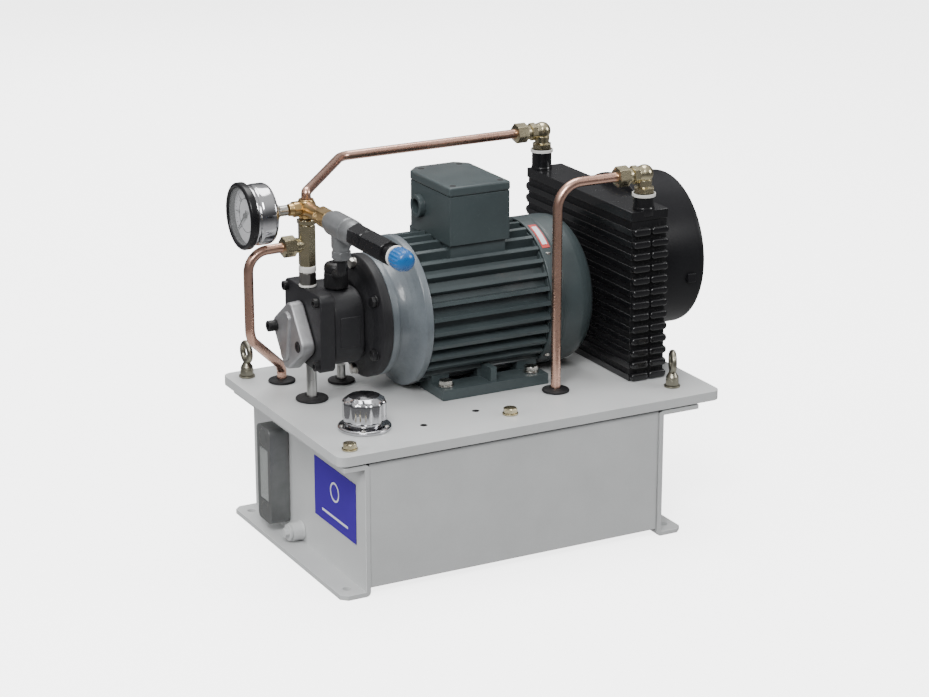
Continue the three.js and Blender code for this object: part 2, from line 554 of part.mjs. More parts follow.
const tubeNut = (x0, x1, y, z) => join(hexBar('x', x0, x1 - 3, 19), bar('x', x1 - 4, x1, 8, 12)).translate(0, y, z);

function buildTubes() {
  const inletPort = 354;
  const returnPort = 349;
  add('inlet_elbow', 'zinc', elbow(inletPort, INLET.z), INLET.x, INLET.y, inletPort);
  add('return_elbow', 'zinc', elbow(returnPort, RETURN.z), RETURN.x, RETURN.y, returnPort);
  const teeTop = TEE_Z + 9.5 + GAP;
  const inletEnd = INLET.x - 16 - GAP;
  add('inlet_tube', 'copper', join(
    tube([[COLUMN.x, COLUMN.y, teeTop], [COLUMN.x, COLUMN.y, 367], [-62, INLET.y, INLET.z - 1.5], [inletEnd - 10, INLET.y, INLET.z]],
      TUBE_R, 20, 30),
    tubeNut(inletEnd - 18, inletEnd, INLET.y, INLET.z)));
  const returnEnd = RETURN.x - 16 - GAP;
  add('return_tube', 'copper', join(
    tube([[RETURN.dropX, RETURN.y, 70], [RETURN.dropX, RETURN.y, RETURN.z], [returnEnd - 10, RETURN.y, RETURN.z]], TUBE_R, 26, 26),
    tubeNut(returnEnd - 18, returnEnd, RETURN.y, RETURN.z)));
  const leakZ = 313;
  const leakEnd = COLUMN.x - 9.5 - GAP;
  const leak = PIPES.leak;
  add('leak_tube', 'copper', join(
    tube([[leakEnd - 8, COLUMN.y, leakZ], [-212, COLUMN.y, leakZ - 1], [-212, COLUMN.y, 222], [leak.x - 5, leak.y - 6, 172],
      [leak.x, leak.y, 163], [leak.x, leak.y, 70]], TUBE_R, 22, 36),
    tubeNut(leakEnd - 18, leakEnd, COLUMN.y, leakZ)));
}

// ---------- cooler ----------
// Stack of plates and bars: its two ends are a row of teeth.
function coolerMatrix() {
  const points = [];
  const base = DECK + GAP;
  const count = Math.floor((COOLER.top - base) / COOLER.pitch);
  const tooth = (y, dir, i) => {
    const z = base + i * COOLER.pitch;
    const gap = COOLER.pitch - COOLER.tooth;
    return [[y, z], [y, z + COOLER.tooth], [y + dir * 6, z + COOLER.tooth + 1], [y + dir * 6, z + COOLER.tooth + gap - 1]];
  };
  for (let i = 0; i < count; i++) points.push(...tooth(COOLER.rear, -1, i));
  points.push([COOLER.rear - 3, base + count * COOLER.pitch], [COOLER.rear - 3, COOLER.top]);
  points.push([COOLER.front + 3, COOLER.top], [COOLER.front + 3, base + count * COOLER.pitch]);
  for (let i = count - 1; i >= 0; i--) points.push(...tooth(COOLER.front, 1, i).reverse());
  const stack = alongX(outline(points), COOLER.left, COOLER.right);
  const boss = (at, top) => bar('z', COOLER.top - 5, top, 11.5, 16).translate(at.x, at.y, 0);
  return join(stack, boss(INLET, 354), boss(RETURN, 349));
}

function fanShroud() {
  const face = COOLER.right + GAP;
  const { y, z, radius, end } = SHROUD;
  const plate = block(face, face + 2, COOLER.front + 12, COOLER.rear - 12, DECK + 6, COOLER.top - 4).translate(0, -y, -z);
  const tunnel = ring('x', face, end, radius - 2, radius, 24);
  const lip = ring('x', end - 4, end, radius - 4, radius, 24);
  const body = cut(join(plate, ring('x', face, face + 4, radius - 3, radius + 4, 24)),
    bar('x', face - 1, face + 6, radius - 2, 24));
  const struts = [];
  for (let i = 0; i < 4; i++) {
    struts.push(block(end - 10, end - 6, 20, radius - 1, -4, 4).rotateX((i / 4 + 0.125) * Math.PI * 2));
  }
  return join(body, tunnel, lip, ...struts, bar('x', end - 30, end - 3, 26));
}

function coolerFan() {
  const blades = [];
  for (let i = 0; i < 6; i++) {
    blades.push(block(-11, 11, 18, SHROUD.radius - 8, -1.2, 1.2).rotateY(0.6).translate(227, 0, 0).rotateX((i / 6) * Math.PI * 2));
  }
  return join(bar('x', 216, 243, 24), ...blades);
}

function buildCooler() {
  add('cooler_matrix', 'blackPaint', coolerMatrix());
  add('fan_shroud', 'blackPaint', fanShroud(), 0, SHROUD.y, SHROUD.z);
  add('cooler_fan', 'blackPaint', coolerFan(), 0, SHROUD.y, SHROUD.z);
}

buildTank();
buildLid();
buildTankFittings();
buildPipes();
buildMotor();
buildTerminalBox();
buildPump();
buildPressureLine();
buildTubes();
buildCooler();
unit.position.set(-ORIGIN.x, -ORIGIN.y, 0);

export default unit;
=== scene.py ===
import math

import bmesh
import bpy
import numpy as np
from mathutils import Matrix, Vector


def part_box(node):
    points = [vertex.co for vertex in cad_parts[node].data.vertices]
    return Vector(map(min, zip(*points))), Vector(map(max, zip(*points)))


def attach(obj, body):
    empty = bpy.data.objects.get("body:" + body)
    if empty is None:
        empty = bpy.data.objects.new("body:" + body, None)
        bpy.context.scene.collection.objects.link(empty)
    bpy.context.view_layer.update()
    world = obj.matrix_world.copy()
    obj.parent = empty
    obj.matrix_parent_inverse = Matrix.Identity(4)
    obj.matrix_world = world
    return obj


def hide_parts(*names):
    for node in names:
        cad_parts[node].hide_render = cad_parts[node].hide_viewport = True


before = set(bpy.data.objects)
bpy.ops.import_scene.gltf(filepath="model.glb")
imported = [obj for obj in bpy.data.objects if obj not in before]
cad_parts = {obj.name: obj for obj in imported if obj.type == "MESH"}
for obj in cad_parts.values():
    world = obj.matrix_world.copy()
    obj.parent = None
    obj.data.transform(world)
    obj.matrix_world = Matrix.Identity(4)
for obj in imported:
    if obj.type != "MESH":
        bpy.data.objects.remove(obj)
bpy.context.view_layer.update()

MM = 0.001

# Camera, floor and lights. The unit stands on a pale floor in a soft white studio, seen from
# the pump end and a little above, with a long lens.
LENS = 97.4
SENSOR = 36.0
EYE = np.array([-1.1745, -2.1705, 0.9905])
AZIMUTH, ELEVATION = math.radians(-27.9), math.radians(17.93)
FLOOR_SIZE = 14.0

camera_data = bpy.data.cameras.new("camera")
camera_data.lens, camera_data.sensor_width, camera_data.sensor_fit = LENS, SENSOR, "HORIZONTAL"
camera_data.clip_end = 60.0
camera = bpy.data.objects.new("camera", camera_data)
camera.location = EYE
camera.rotation_euler = (math.pi / 2 - ELEVATION, 0.0, AZIMUTH)
bpy.context.collection.objects.link(camera)
bpy.context.scene.camera = camera

bpy.ops.mesh.primitive_plane_add(size=FLOOR_SIZE, location=(0, 0, 0))
floor = bpy.context.object
floor.name = "floor"


def lamp(name, place, aim, size, watts, mirrored=True):
    """A square soft light at place that faces the point aim, seen in gloss where mirrored."""
    data = bpy.data.lights.new(name, "AREA")
    data.shape, data.size, data.energy = "SQUARE", size, watts
    light = bpy.data.objects.new(name, data)
    light.location = place
    toward = np.array(aim, float) - np.array(place, float)
    across = math.hypot(toward[0], toward[1])
    light.rotation_euler = (math.atan2(across, -toward[2]), 0, math.atan2(toward[1], toward[0]) - math.pi / 2)
    light.visible_glossy = mirrored
    bpy.context.collection.objects.link(light)


MIDDLE = (0.0, 0.0, 0.18)
lamp("key", (-1.3, -1.8, 2.2), MIDDLE, 1.1, 80)
lamp("fill", (-2.6, 0.3, 1.0), MIDDLE, 1.2, 38, False)
lamp("top", (0.2, 0.6, 2.4), MIDDLE, 1.4, 42)
lamp("right", (2.2, -1.4, 1.3), MIDDLE, 0.9, 26)
lamp("behind", (0.6, 2.4, 1.4), MIDDLE, 1.4, 24, False)


class Shade:
    """A socket of a material's node tree. Sums and products of it add Math nodes to the tree."""

    def __init__(self, tree, socket=None):
        self.tree, self.socket = tree, socket

    def node(self, kind, output=0, settings=None, **inputs):
        """Adds one node: its settings first, then its sockets, by name or as _number."""
        made = self.tree.nodes.new("ShaderNode" + kind)
        for key, value in (settings or {}).items():
            if key == "stops":
                for stop, (place, colour) in zip(made.color_ramp.elements, value):
                    stop.position, stop.color = place, colour
            else:
                setattr(made, key, value)
        for key, value in inputs.items():
            socket = made.inputs[int(key[1:]) if key[0] == "_" else key.replace("_", " ")]
            if isinstance(value, Shade):
                self.tree.links.new(value.socket, socket)
            else:
                socket.default_value = value
        return Shade(self.tree, made.outputs[output])

    def maths(self, operation, first, second=0.0):
        """Adds one Math node that works out operation(first, second)."""
        return self.node("Math", settings={"operation": operation}, _0=first, _1=second)

    def __add__(self, other):
        return self.maths("ADD", self, other)

    def __sub__(self, other):
        return self.maths("SUBTRACT", self, other)

    def __rsub__(self, other):
        return self.maths("SUBTRACT", other, self)

    def __mul__(self, other):
        return self.maths("MULTIPLY", self, other)

    __radd__ = __add__
    __rmul__ = __mul__

    def step(self, low, high):
        """0 below low, 1 above high, smooth between."""
        return self.node("MapRange", settings={"interpolation_type": "SMOOTHSTEP"}, Value=self,
                         From_Min=low, From_Max=high)

    def mix(self, first, second):
        """Colour that goes from first to second as this goes from 0 to 1."""
        return self.node("Mix", output=2, settings={"data_type": "RGBA"}, _0=self, _6=first, _7=second)


world = bpy.data.worlds.new("studio")
world.use_nodes = True
sky = Shade(world.node_tree)
height = sky.node("SeparateXYZ", output=2, Vector=sky.node("TexCoord"))
backdrop = height.step(0.1, 0.85).mix((0.10, 0.10, 0.105, 1), (0.9, 0.9, 0.9, 1))
backdrop = (0.0 - height).step(0.05, 0.8).mix(backdrop, (0.8, 0.8, 0.8, 1))
backdrop = sky.node("LightPath").mix(backdrop, (4.2, 4.2, 4.2, 1))
world.node_tree.links.new(backdrop.socket, world.node_tree.nodes["Background"].inputs["Color"])
world.node_tree.nodes["Background"].inputs["Strength"].default_value = 0.9
bpy.context.scene.world = world


def finish(name, light, dark, rough, grain, depth, metal=0.0, coat=0.0, blotch=18.0, spread=0.12,
           stretch=(1, 1, 1), dust=0.0, dust_tint=(0.45, 0.44, 0.42, 1), fleck=0.0, shine=0.5):
    """A finish whose colour wanders between light and dark over patches 1/blotch metres wide, with a
    bump of noise 1/grain metres wide, stretched along an axis for drawn or ground metal, dust on
    faces that look up, and small flecks where paint or plating has been touched."""
    material = bpy.data.materials.new(name)
    material.use_nodes = True
    shader = material.node_tree.nodes["Principled BSDF"]
    shade = Shade(material.node_tree)
    place = shade.node("TexCoord", output=3)
    drawn = shade.node("Mapping", Vector=place, Scale=stretch)
    patch = shade.node("TexNoise", Vector=place, Scale=blotch, Detail=4.0, Roughness=0.6)
    fine = shade.node("TexNoise", Vector=drawn, Scale=grain, Detail=3.0, Roughness=0.55)
    speck = shade.node("TexNoise", Vector=place, Scale=grain * 0.35, Detail=2.0).step(0.62, 0.72)
    tone = (patch * 0.65 + fine * 0.35).step(0.5 - 3 * spread, 0.5 + 3 * spread)
    colour = tone.mix((*dark, 1), (*light, 1))
    if fleck:
        colour = (speck * fleck).mix(colour, tuple(min(1.0, c * 1.9 + 0.03) for c in light) + (1,))
    if dust:
        up = shade.node("SeparateXYZ", output=2, Vector=shade.node("NewGeometry", output=1))
        lying = up.step(0.55, 0.98) * patch.step(0.35, 0.7) * dust
        colour = lying.mix(colour, dust_tint)
    shade.tree.links.new(colour.socket, shader.inputs["Base Color"])
    worn = patch * 0.16 + fine * 0.12 + (rough - 0.14)
    shade.tree.links.new(worn.socket, shader.inputs["Roughness"])
    bump = shade.node("Bump", Height=fine + patch * 0.15, Distance=depth, Strength=0.6)
    shade.tree.links.new(bump.socket, shader.inputs["Normal"])
    shader.inputs["Metallic"].default_value = metal
    shader.inputs["Coat Weight"].default_value = coat
    shader.inputs["Specular IOR Level"].default_value = shine
    return material


paper = finish("floor_paper", (0.95, 0.95, 0.95), (0.93, 0.93, 0.93), 0.8, 60, 0.0001)
paper.node_tree.nodes["Principled BSDF"].inputs["Emission Color"].default_value = (1, 1, 1, 1)
paper.node_tree.nodes["Principled BSDF"].inputs["Emission Strength"].default_value = 3.2
floor.visible_diffuse = floor.visible_glossy = False
floor.data.materials.append(paper)

# Tank: a folded trough of 3 mm sheet between two 5 mm end plates that are bent out into feet
# below and flanges above, all in light grey stoved paint.
tank_paint = finish("tank_paint", (0.54, 0.55, 0.55), (0.47, 0.48, 0.48), 0.42, 900, 0.00012,
                    coat=0.12, dust=0.10, spread=0.1)


def tidy(mesh, smooth=35.0):
    """Closes seams and poles, points the faces outward, and keeps edges sharper than smooth degrees."""
    work = bmesh.new()
    work.from_mesh(mesh)
    bmesh.ops.remove_doubles(work, verts=work.verts, dist=2e-6)
    bmesh.ops.dissolve_degenerate(work, edges=work.edges, dist=1e-7)
    bmesh.ops.recalc_face_normals(work, faces=work.faces)
    work.to_mesh(mesh)
    work.free()
    mesh.shade_smooth()
    mesh.set_sharp_from_angle(angle=math.radians(smooth))


def eased(node, width, segments=3, angle=28.0):
    """The plate as it leaves the press: the plain solid, its flat faces whole, its edges rounded."""
    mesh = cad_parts[node].data.copy()
    mesh.name = node + "_plate"
    work = bmesh.new()
    work.from_mesh(mesh)
    bmesh.ops.remove_doubles(work, verts=work.verts, dist=2e-6)
    bmesh.ops.dissolve_limit(work, angle_limit=math.radians(1.0), verts=work.verts, edges=work.edges)
    work.to_mesh(mesh)
    work.free()
    mesh.materials.clear()
    mesh.shade_smooth()
    mesh.set_sharp_from_angle(angle=math.radians(angle))
    piece = bpy.data.objects.new(node + "_plate", mesh)
    bpy.context.collection.objects.link(piece)
    bevel = piece.modifiers.new("edges", "BEVEL")
    bevel.width, bevel.segments, bevel.limit_method = width, segments, "ANGLE"
    bevel.angle_limit, bevel.harden_normals = math.radians(angle), False
    bevel.use_clamp_overlap = True
    return piece


def fit(piece, material, slot, *nodes, body="unit"):
    """Gives a piece its finish and the body it moves with, and hides the plain nodes it stands for."""
    piece.data.materials.clear()
    piece.data.materials.append(material)
    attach(piece, body)
    if nodes:
        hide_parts(*nodes)
    return piece


def coat_nodes(material, *nodes):
    """Gives plain nodes, whose shape is already right, a better finish."""
    for node in nodes:
        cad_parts[node].data.materials.clear()
        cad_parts[node].data.materials.append(material)


for node in ("tank_shell", "left_end_plate", "right_end_plate"):
    fit(eased(node, 0.0008), tank_paint, "tank_paint", node)
coat_nodes(tank_paint, "tank_baffle")
TANK_LOW, TANK_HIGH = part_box("left_end_plate")
WALL_X = TANK_LOW.x + 0.026
TANK_Y = (TANK_LOW.y + TANK_HIGH.y) / 2

# Lid: a 10 mm plate with rounded corners on a cork-rubber strip, painted like the tank. Its holes
# are lined by the grommets, and two tapped holes and one bolt sit along the front.
rubber = finish("black_rubber", (0.014, 0.014, 0.015), (0.007, 0.007, 0.008), 0.55, 1400, 0.0001, dust=0.05,
                shine=0.25)
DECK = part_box("lid_plate")[1].z
fit(eased("lid_plate", 0.0007), tank_paint, "tank_paint", "lid_plate")
fit(eased("lid_gasket", 0.0002, 2), rubber, "seal_rubber", "lid_gasket")

# Bolts: zinc hex bolts on washers, turned from bar. A hexagon's corners are cut back by the
# chamfer at each end of the head.
zinc = finish("olive_zinc", (0.60, 0.53, 0.36), (0.44, 0.39, 0.26), 0.27, 1100, 0.000015, metal=1.0,
              blotch=60, spread=0.09)
bright_zinc = finish("bright_zinc", (0.62, 0.60, 0.56), (0.46, 0.45, 0.42), 0.28, 1500, 0.00003, metal=1.0,
                     blotch=70)
steel = finish("machined_steel", (0.60, 0.60, 0.58), (0.45, 0.45, 0.44), 0.30, 900, 0.00002, metal=1.0,
               blotch=50, stretch=(1, 1, 9))
AXES = {
    "x": np.array([[1, 0, 0], [0, 1, 0], [0, 0, 1]], float),
    "y": np.array([[0, 1, 0], [0, 0, 1], [1, 0, 0]], float),
    "z": np.array([[0, 0, 1], [1, 0, 0], [0, 1, 0]], float),
}


def add_piece(name, points, faces, smooth=35.0):
    """Makes a named piece from an array of points in metres and rows of corner numbers."""
    mesh = bpy.data.meshes.new(name)
    mesh.from_pydata(points.reshape(-1, 3).tolist(), [], faces.tolist())
    tidy(mesh, smooth)
    piece = bpy.data.objects.new(name, mesh)
    bpy.context.collection.objects.link(piece)
    return piece


def lattice(rows, columns, closed=True):
    """Quad faces of a grid of points; its columns join up when closed."""
    row = np.arange(rows - 1)[:, None]
    column = np.arange(columns if closed else columns - 1)[None, :]
    after = (column + 1) % columns
    corners = [row * columns + column, row * columns + after, (row + 1) * columns + after,
               (row + 1) * columns + column]
    return np.stack(np.broadcast_arrays(*corners), -1).reshape(-1, 4)


def rounded_rows(rows, edge):
    """Each inner row P becomes four rows on the curve (1-t)^2 A + 2t(1-t) P + t^2 B, where A and B
    lie at most edge away from P towards the rows before and after it."""
    table = np.array([tuple(row) + (1e5,) * (3 - len(row)) for row in rows], float)
    before, middle, after = table[:-2], table[1:-1], table[2:]
    back, ahead = (before - middle)[:, :2], (after - middle)[:, :2]
    back_length = np.linalg.norm(back, axis=1, keepdims=True) + 1e-9
    ahead_length = np.linalg.norm(ahead, axis=1, keepdims=True) + 1e-9
    near = middle[:, :2] + back * np.minimum(edge / back_length, 0.45)
    far = middle[:, :2] + ahead * np.minimum(edge / ahead_length, 0.45)
    t = np.linspace(0, 1, 4)[None, :, None]
    curve = (1 - t) ** 2 * near[:, None] + 2 * t * (1 - t) * middle[:, None, :2] + t ** 2 * far[:, None]
    flats = np.broadcast_to(middle[:, None, 2:], curve.shape[:2] + (1,))
    inner = np.concatenate([curve, flats], -1).reshape(-1, 3)
    return np.concatenate([table[:1], inner, table[-1:]])


def turned(name, axis, at, rows, edge=0.4, sides=96, turn=0.0, flutes=(0, 0.0, 0.0)):
    """Turned piece: point = at + a axis + r (cos t u + sin t v), with a and r from the rows in mm.
    A row's third value is a size across flats f: r is then at most f / 2 / cos(angle to the middle
    of the nearest flat). Flutes (count n, depth d, limit) take d (1 - cos n t) / 2 off r beyond limit."""
    table = rounded_rows(rows, edge)
    along, radius, flats = (table[:, i, None] for i in range(3))
    t = np.linspace(0, 2 * math.pi, sides, endpoint=False)[None, :]
    off_flat = np.mod(t - turn, math.pi / 3) - math.pi / 6
    r = np.minimum(radius, flats / 2 / np.cos(off_flat))
    count, cut, limit = flutes
    r = np.where(radius > limit, r - cut * (1 - np.cos(count * t)) / 2, r) if count else r
    way, side, other = AXES[axis]
    spoke = np.cos(t)[..., None] * side + np.sin(t)[..., None] * other
    points = np.array(at, float) + MM * (along[..., None] * way + r[..., None] * spoke)
    return add_piece(name, points, lattice(len(table), sides))


def hex_head(start, end, flats):
    """Rows of a hexagon from start to end with its corners chamfered at both ends."""
    way = 1 if end > start else -1
    corner = flats / math.sqrt(3)
    return [(start, flats * 0.475, flats), (start + 0.7 * way, corner, flats),
        (end - 0.7 * way, corner, flats), (end, flats * 0.475, flats)]


def hex_bolt(name, axis, at, flats, head, washer, shank, way=1, turn=0.2, dome=0.3):
    """Bolt on a plain washer: head height and shank length in mm, standing along way times the axis."""
    rows = [(-shank * way, 0), (-shank * way, flats * 0.3), (0.3 * way, flats * 0.3), (0.3 * way, washer),
            (1.8 * way, washer)]
    rows += hex_head(1.8 * way, (1.8 + head) * way, flats) + [((1.8 + head + dome) * way, flats * 0.25)]
    return turned(name, axis, at, rows + [((1.8 + head + dome) * way, 0)], 0.15, 72, turn)


def middle(node):
    """Middle of a node's box: (lowest + highest corner) / 2."""
    low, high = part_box(node)
    return np.array((low + high) / 2)


def on_deck(x, y):
    """Point on the lid's upper face."""
    return (x, y, DECK)


LID_BOLT = middle("lid_bolt")
fit(hex_bolt("lid_bolt_front_left", "z", on_deck(LID_BOLT[0], LID_BOLT[1]), 13, 5.2, 8, 8), zinc,
    "zinc_plate", "lid_bolt")
REAR_EYE = middle("lifting_eye_rear_left")
FRONT_EYE = middle("lifting_eye_front_right")
FRONT_BOLT = on_deck(-0.0185, -0.0855)
fit(hex_bolt("lid_bolt_rear_right", "z", on_deck(FRONT_EYE[0], REAR_EYE[1]), 13, 5.2, 8, 8), zinc,
    "zinc_plate")
fit(hex_bolt("lid_bolt_front_middle", "z", FRONT_BOLT, 13, 5.2, 8, 8), zinc, "zinc_plate")
for i, node in enumerate(("motor_bolt_front_left", "motor_bolt_front_right", "motor_bolt_rear_left",
        "motor_bolt_rear_right")):
    at = middle(node)
    head_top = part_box(node)[1].z
    fit(hex_bolt(node + "_head", "z", (at[0], at[1], head_top - 0.0073), 13, 5.2, 8, 18, turn=0.3 * i),
        bright_zinc, "bright_steel", node)

# Lifting eyes: a forged ring on a shank that screws through a nut and a washer into the flange,
# one at the rear left corner and one at the front right.
RING_RADIUS, WIRE_RADIUS, RING_HEIGHT = 9.5, 3.2, 27.0
eye_steel = finish("forged_zinc", (0.36, 0.34, 0.27), (0.22, 0.21, 0.17), 0.36, 700, 0.0001, metal=1.0,
    blotch=80)


def eye_ring(name, at, angle):
    """Torus: point = at + height z + (R + r cos s)(cos t n + sin t z) + r sin s m, with n across the
    hole and m along it, turned by angle about z."""
    t = np.linspace(0, 2 * math.pi, 64, endpoint=False)[:, None]
    s = np.linspace(0, 2 * math.pi, 24, endpoint=False)[None, :]
    across = np.array([math.cos(angle), math.sin(angle), 0])
    along = np.array([-math.sin(angle), math.cos(angle), 0])
    reach = (RING_RADIUS + WIRE_RADIUS * np.cos(s))[..., None]
    spoke = np.cos(t)[..., None] * across + np.sin(t)[..., None] * np.array([0, 0, 1.0])
    points = reach * spoke + (WIRE_RADIUS * np.sin(s))[..., None] * along
    points = np.array(at) + MM * (points + np.array([0, 0, RING_HEIGHT]))
    points = np.concatenate([points, points[:1]])
    return add_piece(name, points, lattice(65, 24), 80)


def join_pieces(first, *others):
    """One mesh from several, for a piece forged or welded as one."""
    with bpy.context.temp_override(active_object=first, selected_editable_objects=[first, *others]):
        bpy.ops.object.join()
    return first


for node, angle in (("lifting_eye_rear_left", math.pi / 2), ("lifting_eye_front_right", math.pi / 2 - 0.42)):
    at = on_deck(*middle(node)[:2])
    shank = turned(node + "_shank", "z", at, [(-17, 0), (-17, 4), (0.3, 4), (0.3, 8.5), (2.0, 8.5),
                   *hex_head(2.0, 8.6, 13), (8.7, 6.5), (11, 6.5), (16, 3.6), (18, 3.5), (18, 0)], 0.3, 72)
    fit(join_pieces(shank, eye_ring(node + "_ring", at, angle)), eye_steel, "zinc_plate", node)

# Tapped holes in the lid: two blank threads for a handle or clamp. Their insides are painted near-black as
# shade, with a raised burr round the edge.
# Near-black painted shade, used for the hole insides, the gauge recess and the terminal cover screws.
painted_hole_shade = finish("hole_shadow", (0.02, 0.02, 0.02), (0.01, 0.01, 0.01), 0.8, 800, 0.00005)
for i, (x, y) in enumerate(((-0.0445, -0.0605), (-0.1105, -0.0745))):
    rows = [(-6, 0), (-6, 2.6), (0.15, 2.7), (0.15, 3.5), (-0.05, 3.9), (-6.2, 3.9), (-6.2, 0)]
    fit(turned(f"tapped_hole_{i}", "z", on_deck(x, y), rows, 0.08, 32), painted_hole_shade, "tank_paint")

# Level gauge: a grey metal body held to the end wall by two hex screws, with a clear window
# over a graduated strip and a thermometer, and the drain plug in its welded boss beside it.
satin_black = finish("satin_black", (0.014, 0.014, 0.015), (0.008, 0.008, 0.009), 0.38, 1200, 0.00006,
    dust=0.04, shine=0.35)
frame_grey = finish("frame_grey", (0.21, 0.215, 0.215), (0.14, 0.145, 0.145), 0.36, 1100, 0.00008, metal=0.6,
                    blotch=60)
clear = bpy.data.materials.new("clear_window")
clear.use_nodes = True
clear_shader = clear.node_tree.nodes["Principled BSDF"]
clear_shader.inputs["Base Color"].default_value = (0.82, 0.86, 0.84, 1)
clear_shader.inputs["Alpha"].default_value = 0.22
clear_haze = Shade(clear.node_tree)
clear_noise = clear_haze.node("TexNoise", Vector=clear_haze.node("TexCoord", output=3), Scale=300.0,
    Detail=3.0)
clear.node_tree.links.new((clear_noise * 0.08 + 0.02).socket, clear_shader.inputs["Roughness"])
strip_white = finish("strip_white", (0.50, 0.51, 0.50), (0.40, 0.41, 0.40), 0.45, 900, 0.00003)
oil = finish("oil_amber", (0.22, 0.17, 0.09), (0.16, 0.12, 0.06), 0.15, 200, 0.00002)
red_line = finish("thermometer_red", (0.55, 0.03, 0.02), (0.45, 0.02, 0.02), 0.3, 500, 0.00002)


def block(name, low, high, edge=0.3):
    """Box from low to high in metres with its edges rounded by edge mm."""
    low, high = np.array(low, float), np.array(high, float)
    grid = np.stack(np.meshgrid([0, 1], [0, 1], [0, 1], indexing="ij"), -1).reshape(-1, 3)
    faces = np.array([[0, 1, 3, 2], [4, 6, 7, 5], [0, 4, 5, 1], [2, 3, 7, 6], [0, 2, 6, 4], [1, 5, 7, 3]])
    piece = add_piece(name, low + grid * (high - low), faces, 30)
    bevel = piece.modifiers.new("edges", "BEVEL")
    bevel.width, bevel.segments, bevel.limit_method = edge * MM, 3, "ANGLE"
    return piece


fit(eased("level_gauge_body", 0.0012, 4), frame_grey, "gauge_black", "level_gauge_body")
LEVEL_LOW, LEVEL_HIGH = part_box("level_gauge_body")
LEVEL = middle("level_gauge_body")
WINDOW_HALF_Z = 0.0272
strip_x = LEVEL_HIGH.x - 0.0052
# A near-black sheet across the window recess is painted shade for the gaps beside the strip.
fit(block("level_recess_shade", (strip_x - 0.0012, LEVEL[1] - 0.0098, LEVEL[2] - WINDOW_HALF_Z),
          (strip_x, LEVEL[1] + 0.0098, LEVEL[2] + WINDOW_HALF_Z)), painted_hole_shade, "gauge_black")
fit(block("level_strip", (strip_x - 0.0016, LEVEL[1] - 0.0052, LEVEL[2] - WINDOW_HALF_Z),
          (strip_x - 0.0010, LEVEL[1] + 0.0052, LEVEL[2] + WINDOW_HALF_Z)), strip_white, "gauge_black")
fit(block("level_oil", (strip_x - 0.0040, LEVEL[1] - 0.0046, LEVEL[2] - WINDOW_HALF_Z),
          (strip_x - 0.0020, LEVEL[1] - 0.0006, LEVEL[2] + 0.004)), oil, "gauge_glass")
fit(block("level_window", (LEVEL_LOW.x + 0.0004, LEVEL[1] - 0.0102, LEVEL[2] - 0.0276),
          (LEVEL_LOW.x + 0.0030, LEVEL[1] + 0.0102, LEVEL[2] + 0.0276)), clear, "gauge_glass")
fit(block("thermometer_line", (strip_x - 0.0030, LEVEL[1] + 0.0036, LEVEL[2] - 0.024),
          (strip_x - 0.0018, LEVEL[1] + 0.0044, LEVEL[2] + 0.006)), red_line, "gauge_black")
ticks = [block(f"tick_{i}", (strip_x - 0.0018, LEVEL[1] + 0.0008, LEVEL[2] - 0.0235 + 0.0047 * i),
    (strip_x - 0.0015, LEVEL[1] + 0.0030, LEVEL[2] - 0.0230 + 0.0047 * i), 0.05) for i in range(11)]
fit(join_pieces(*ticks), satin_black, "gauge_black")
for i, end in enumerate((-1, 1)):
    at = (LEVEL_LOW.x + 0.0155, LEVEL[1], LEVEL[2] + end * 0.040)
    fit(turned(f"level_screw_{i}", "x", at, [
        (0, 0), (0, 7), *[(-a, r, f) for a, r, f in hex_head(15.0, 15.45, 17)], (-15.5, 0)],
        0.2, 72, 0.2), bright_zinc, "bright_steel")
    fit(turned(f"level_lens_ring_{i}", "y", (LEVEL_LOW.x + 0.004, LEVEL[1], LEVEL[2] + end * 0.0405),
        [(-0.1, 0), (-0.1, 0.5), (0.1, 0.5), (0.1, 0)], 0.05, 12), satin_black, "gauge_black")

BOSS = middle("drain_boss")
boss_front, boss_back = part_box("drain_boss")[0].x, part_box("drain_boss")[1].x
fit(turned("drain_boss_turned", "x", (boss_back, BOSS[1], BOSS[2]), [(0, 6.9), (0, 10.6), (-1.2, 9.8),
    (-3, 9.5), (-12.7, 9.5), (-12.7, 6.9), (0, 6.9)], 0.5), tank_paint, "tank_paint", "drain_boss")
fit(turned("drain_plug_turned", "x", (boss_front, BOSS[1], BOSS[2]), [(10, 0), (10, 6.2), (-0.3, 6.2),
    (-0.3, 8.6), (-3, 8.6), (-3, 5.2, 9), (-6.4, 5.2, 9), (-7, 4.3, 9), (-7, 0)], 0.35, 72), tank_paint,
    "bright_steel", "drain_plug")

# Name panel: a blue printed sheet on the end wall, with a plain pale stripe and a ring in place of
# any mark.
PANEL = {"y": TANK_Y - 0.067, "z": 0.0795, "width": 0.096, "height": 0.063, "thick": 0.0006}
panel_blue = finish("panel_blue", (0.060, 0.028, 0.32), (0.050, 0.022, 0.27), 0.55, 600, 0.00002, shine=0.05)
print_white = finish("panel_print", (0.75, 0.76, 0.82), (0.68, 0.69, 0.75), 0.4, 600, 0.00001)
fit(block("name_panel", (WALL_X - 0.0003 - PANEL["thick"], PANEL["y"] - PANEL["width"] / 2,
    PANEL["z"] - PANEL["height"] / 2), (WALL_X - 0.0003, PANEL["y"] + PANEL["width"] / 2,
    PANEL["z"] + PANEL["height"] / 2), 0.15), panel_blue, "knob_blue")
print_x = WALL_X - 0.0003 - PANEL["thick"]
stripe = block("panel_stripe", (print_x - 0.0002, PANEL["y"] - 0.030, PANEL["z"] - 0.0215),
               (print_x, PANEL["y"] + 0.030, PANEL["z"] - 0.0190), 0.05)
ring_mark = turned("panel_ring", "x", (print_x, PANEL["y"], PANEL["z"] + 0.007),
                   [(0, 8.4), (-0.2, 8.4), (-0.2, 10.4), (0, 10.4), (0, 8.4)], 0.02, 48)
fit(join_pieces(stripe, ring_mark), print_white, "knob_blue")

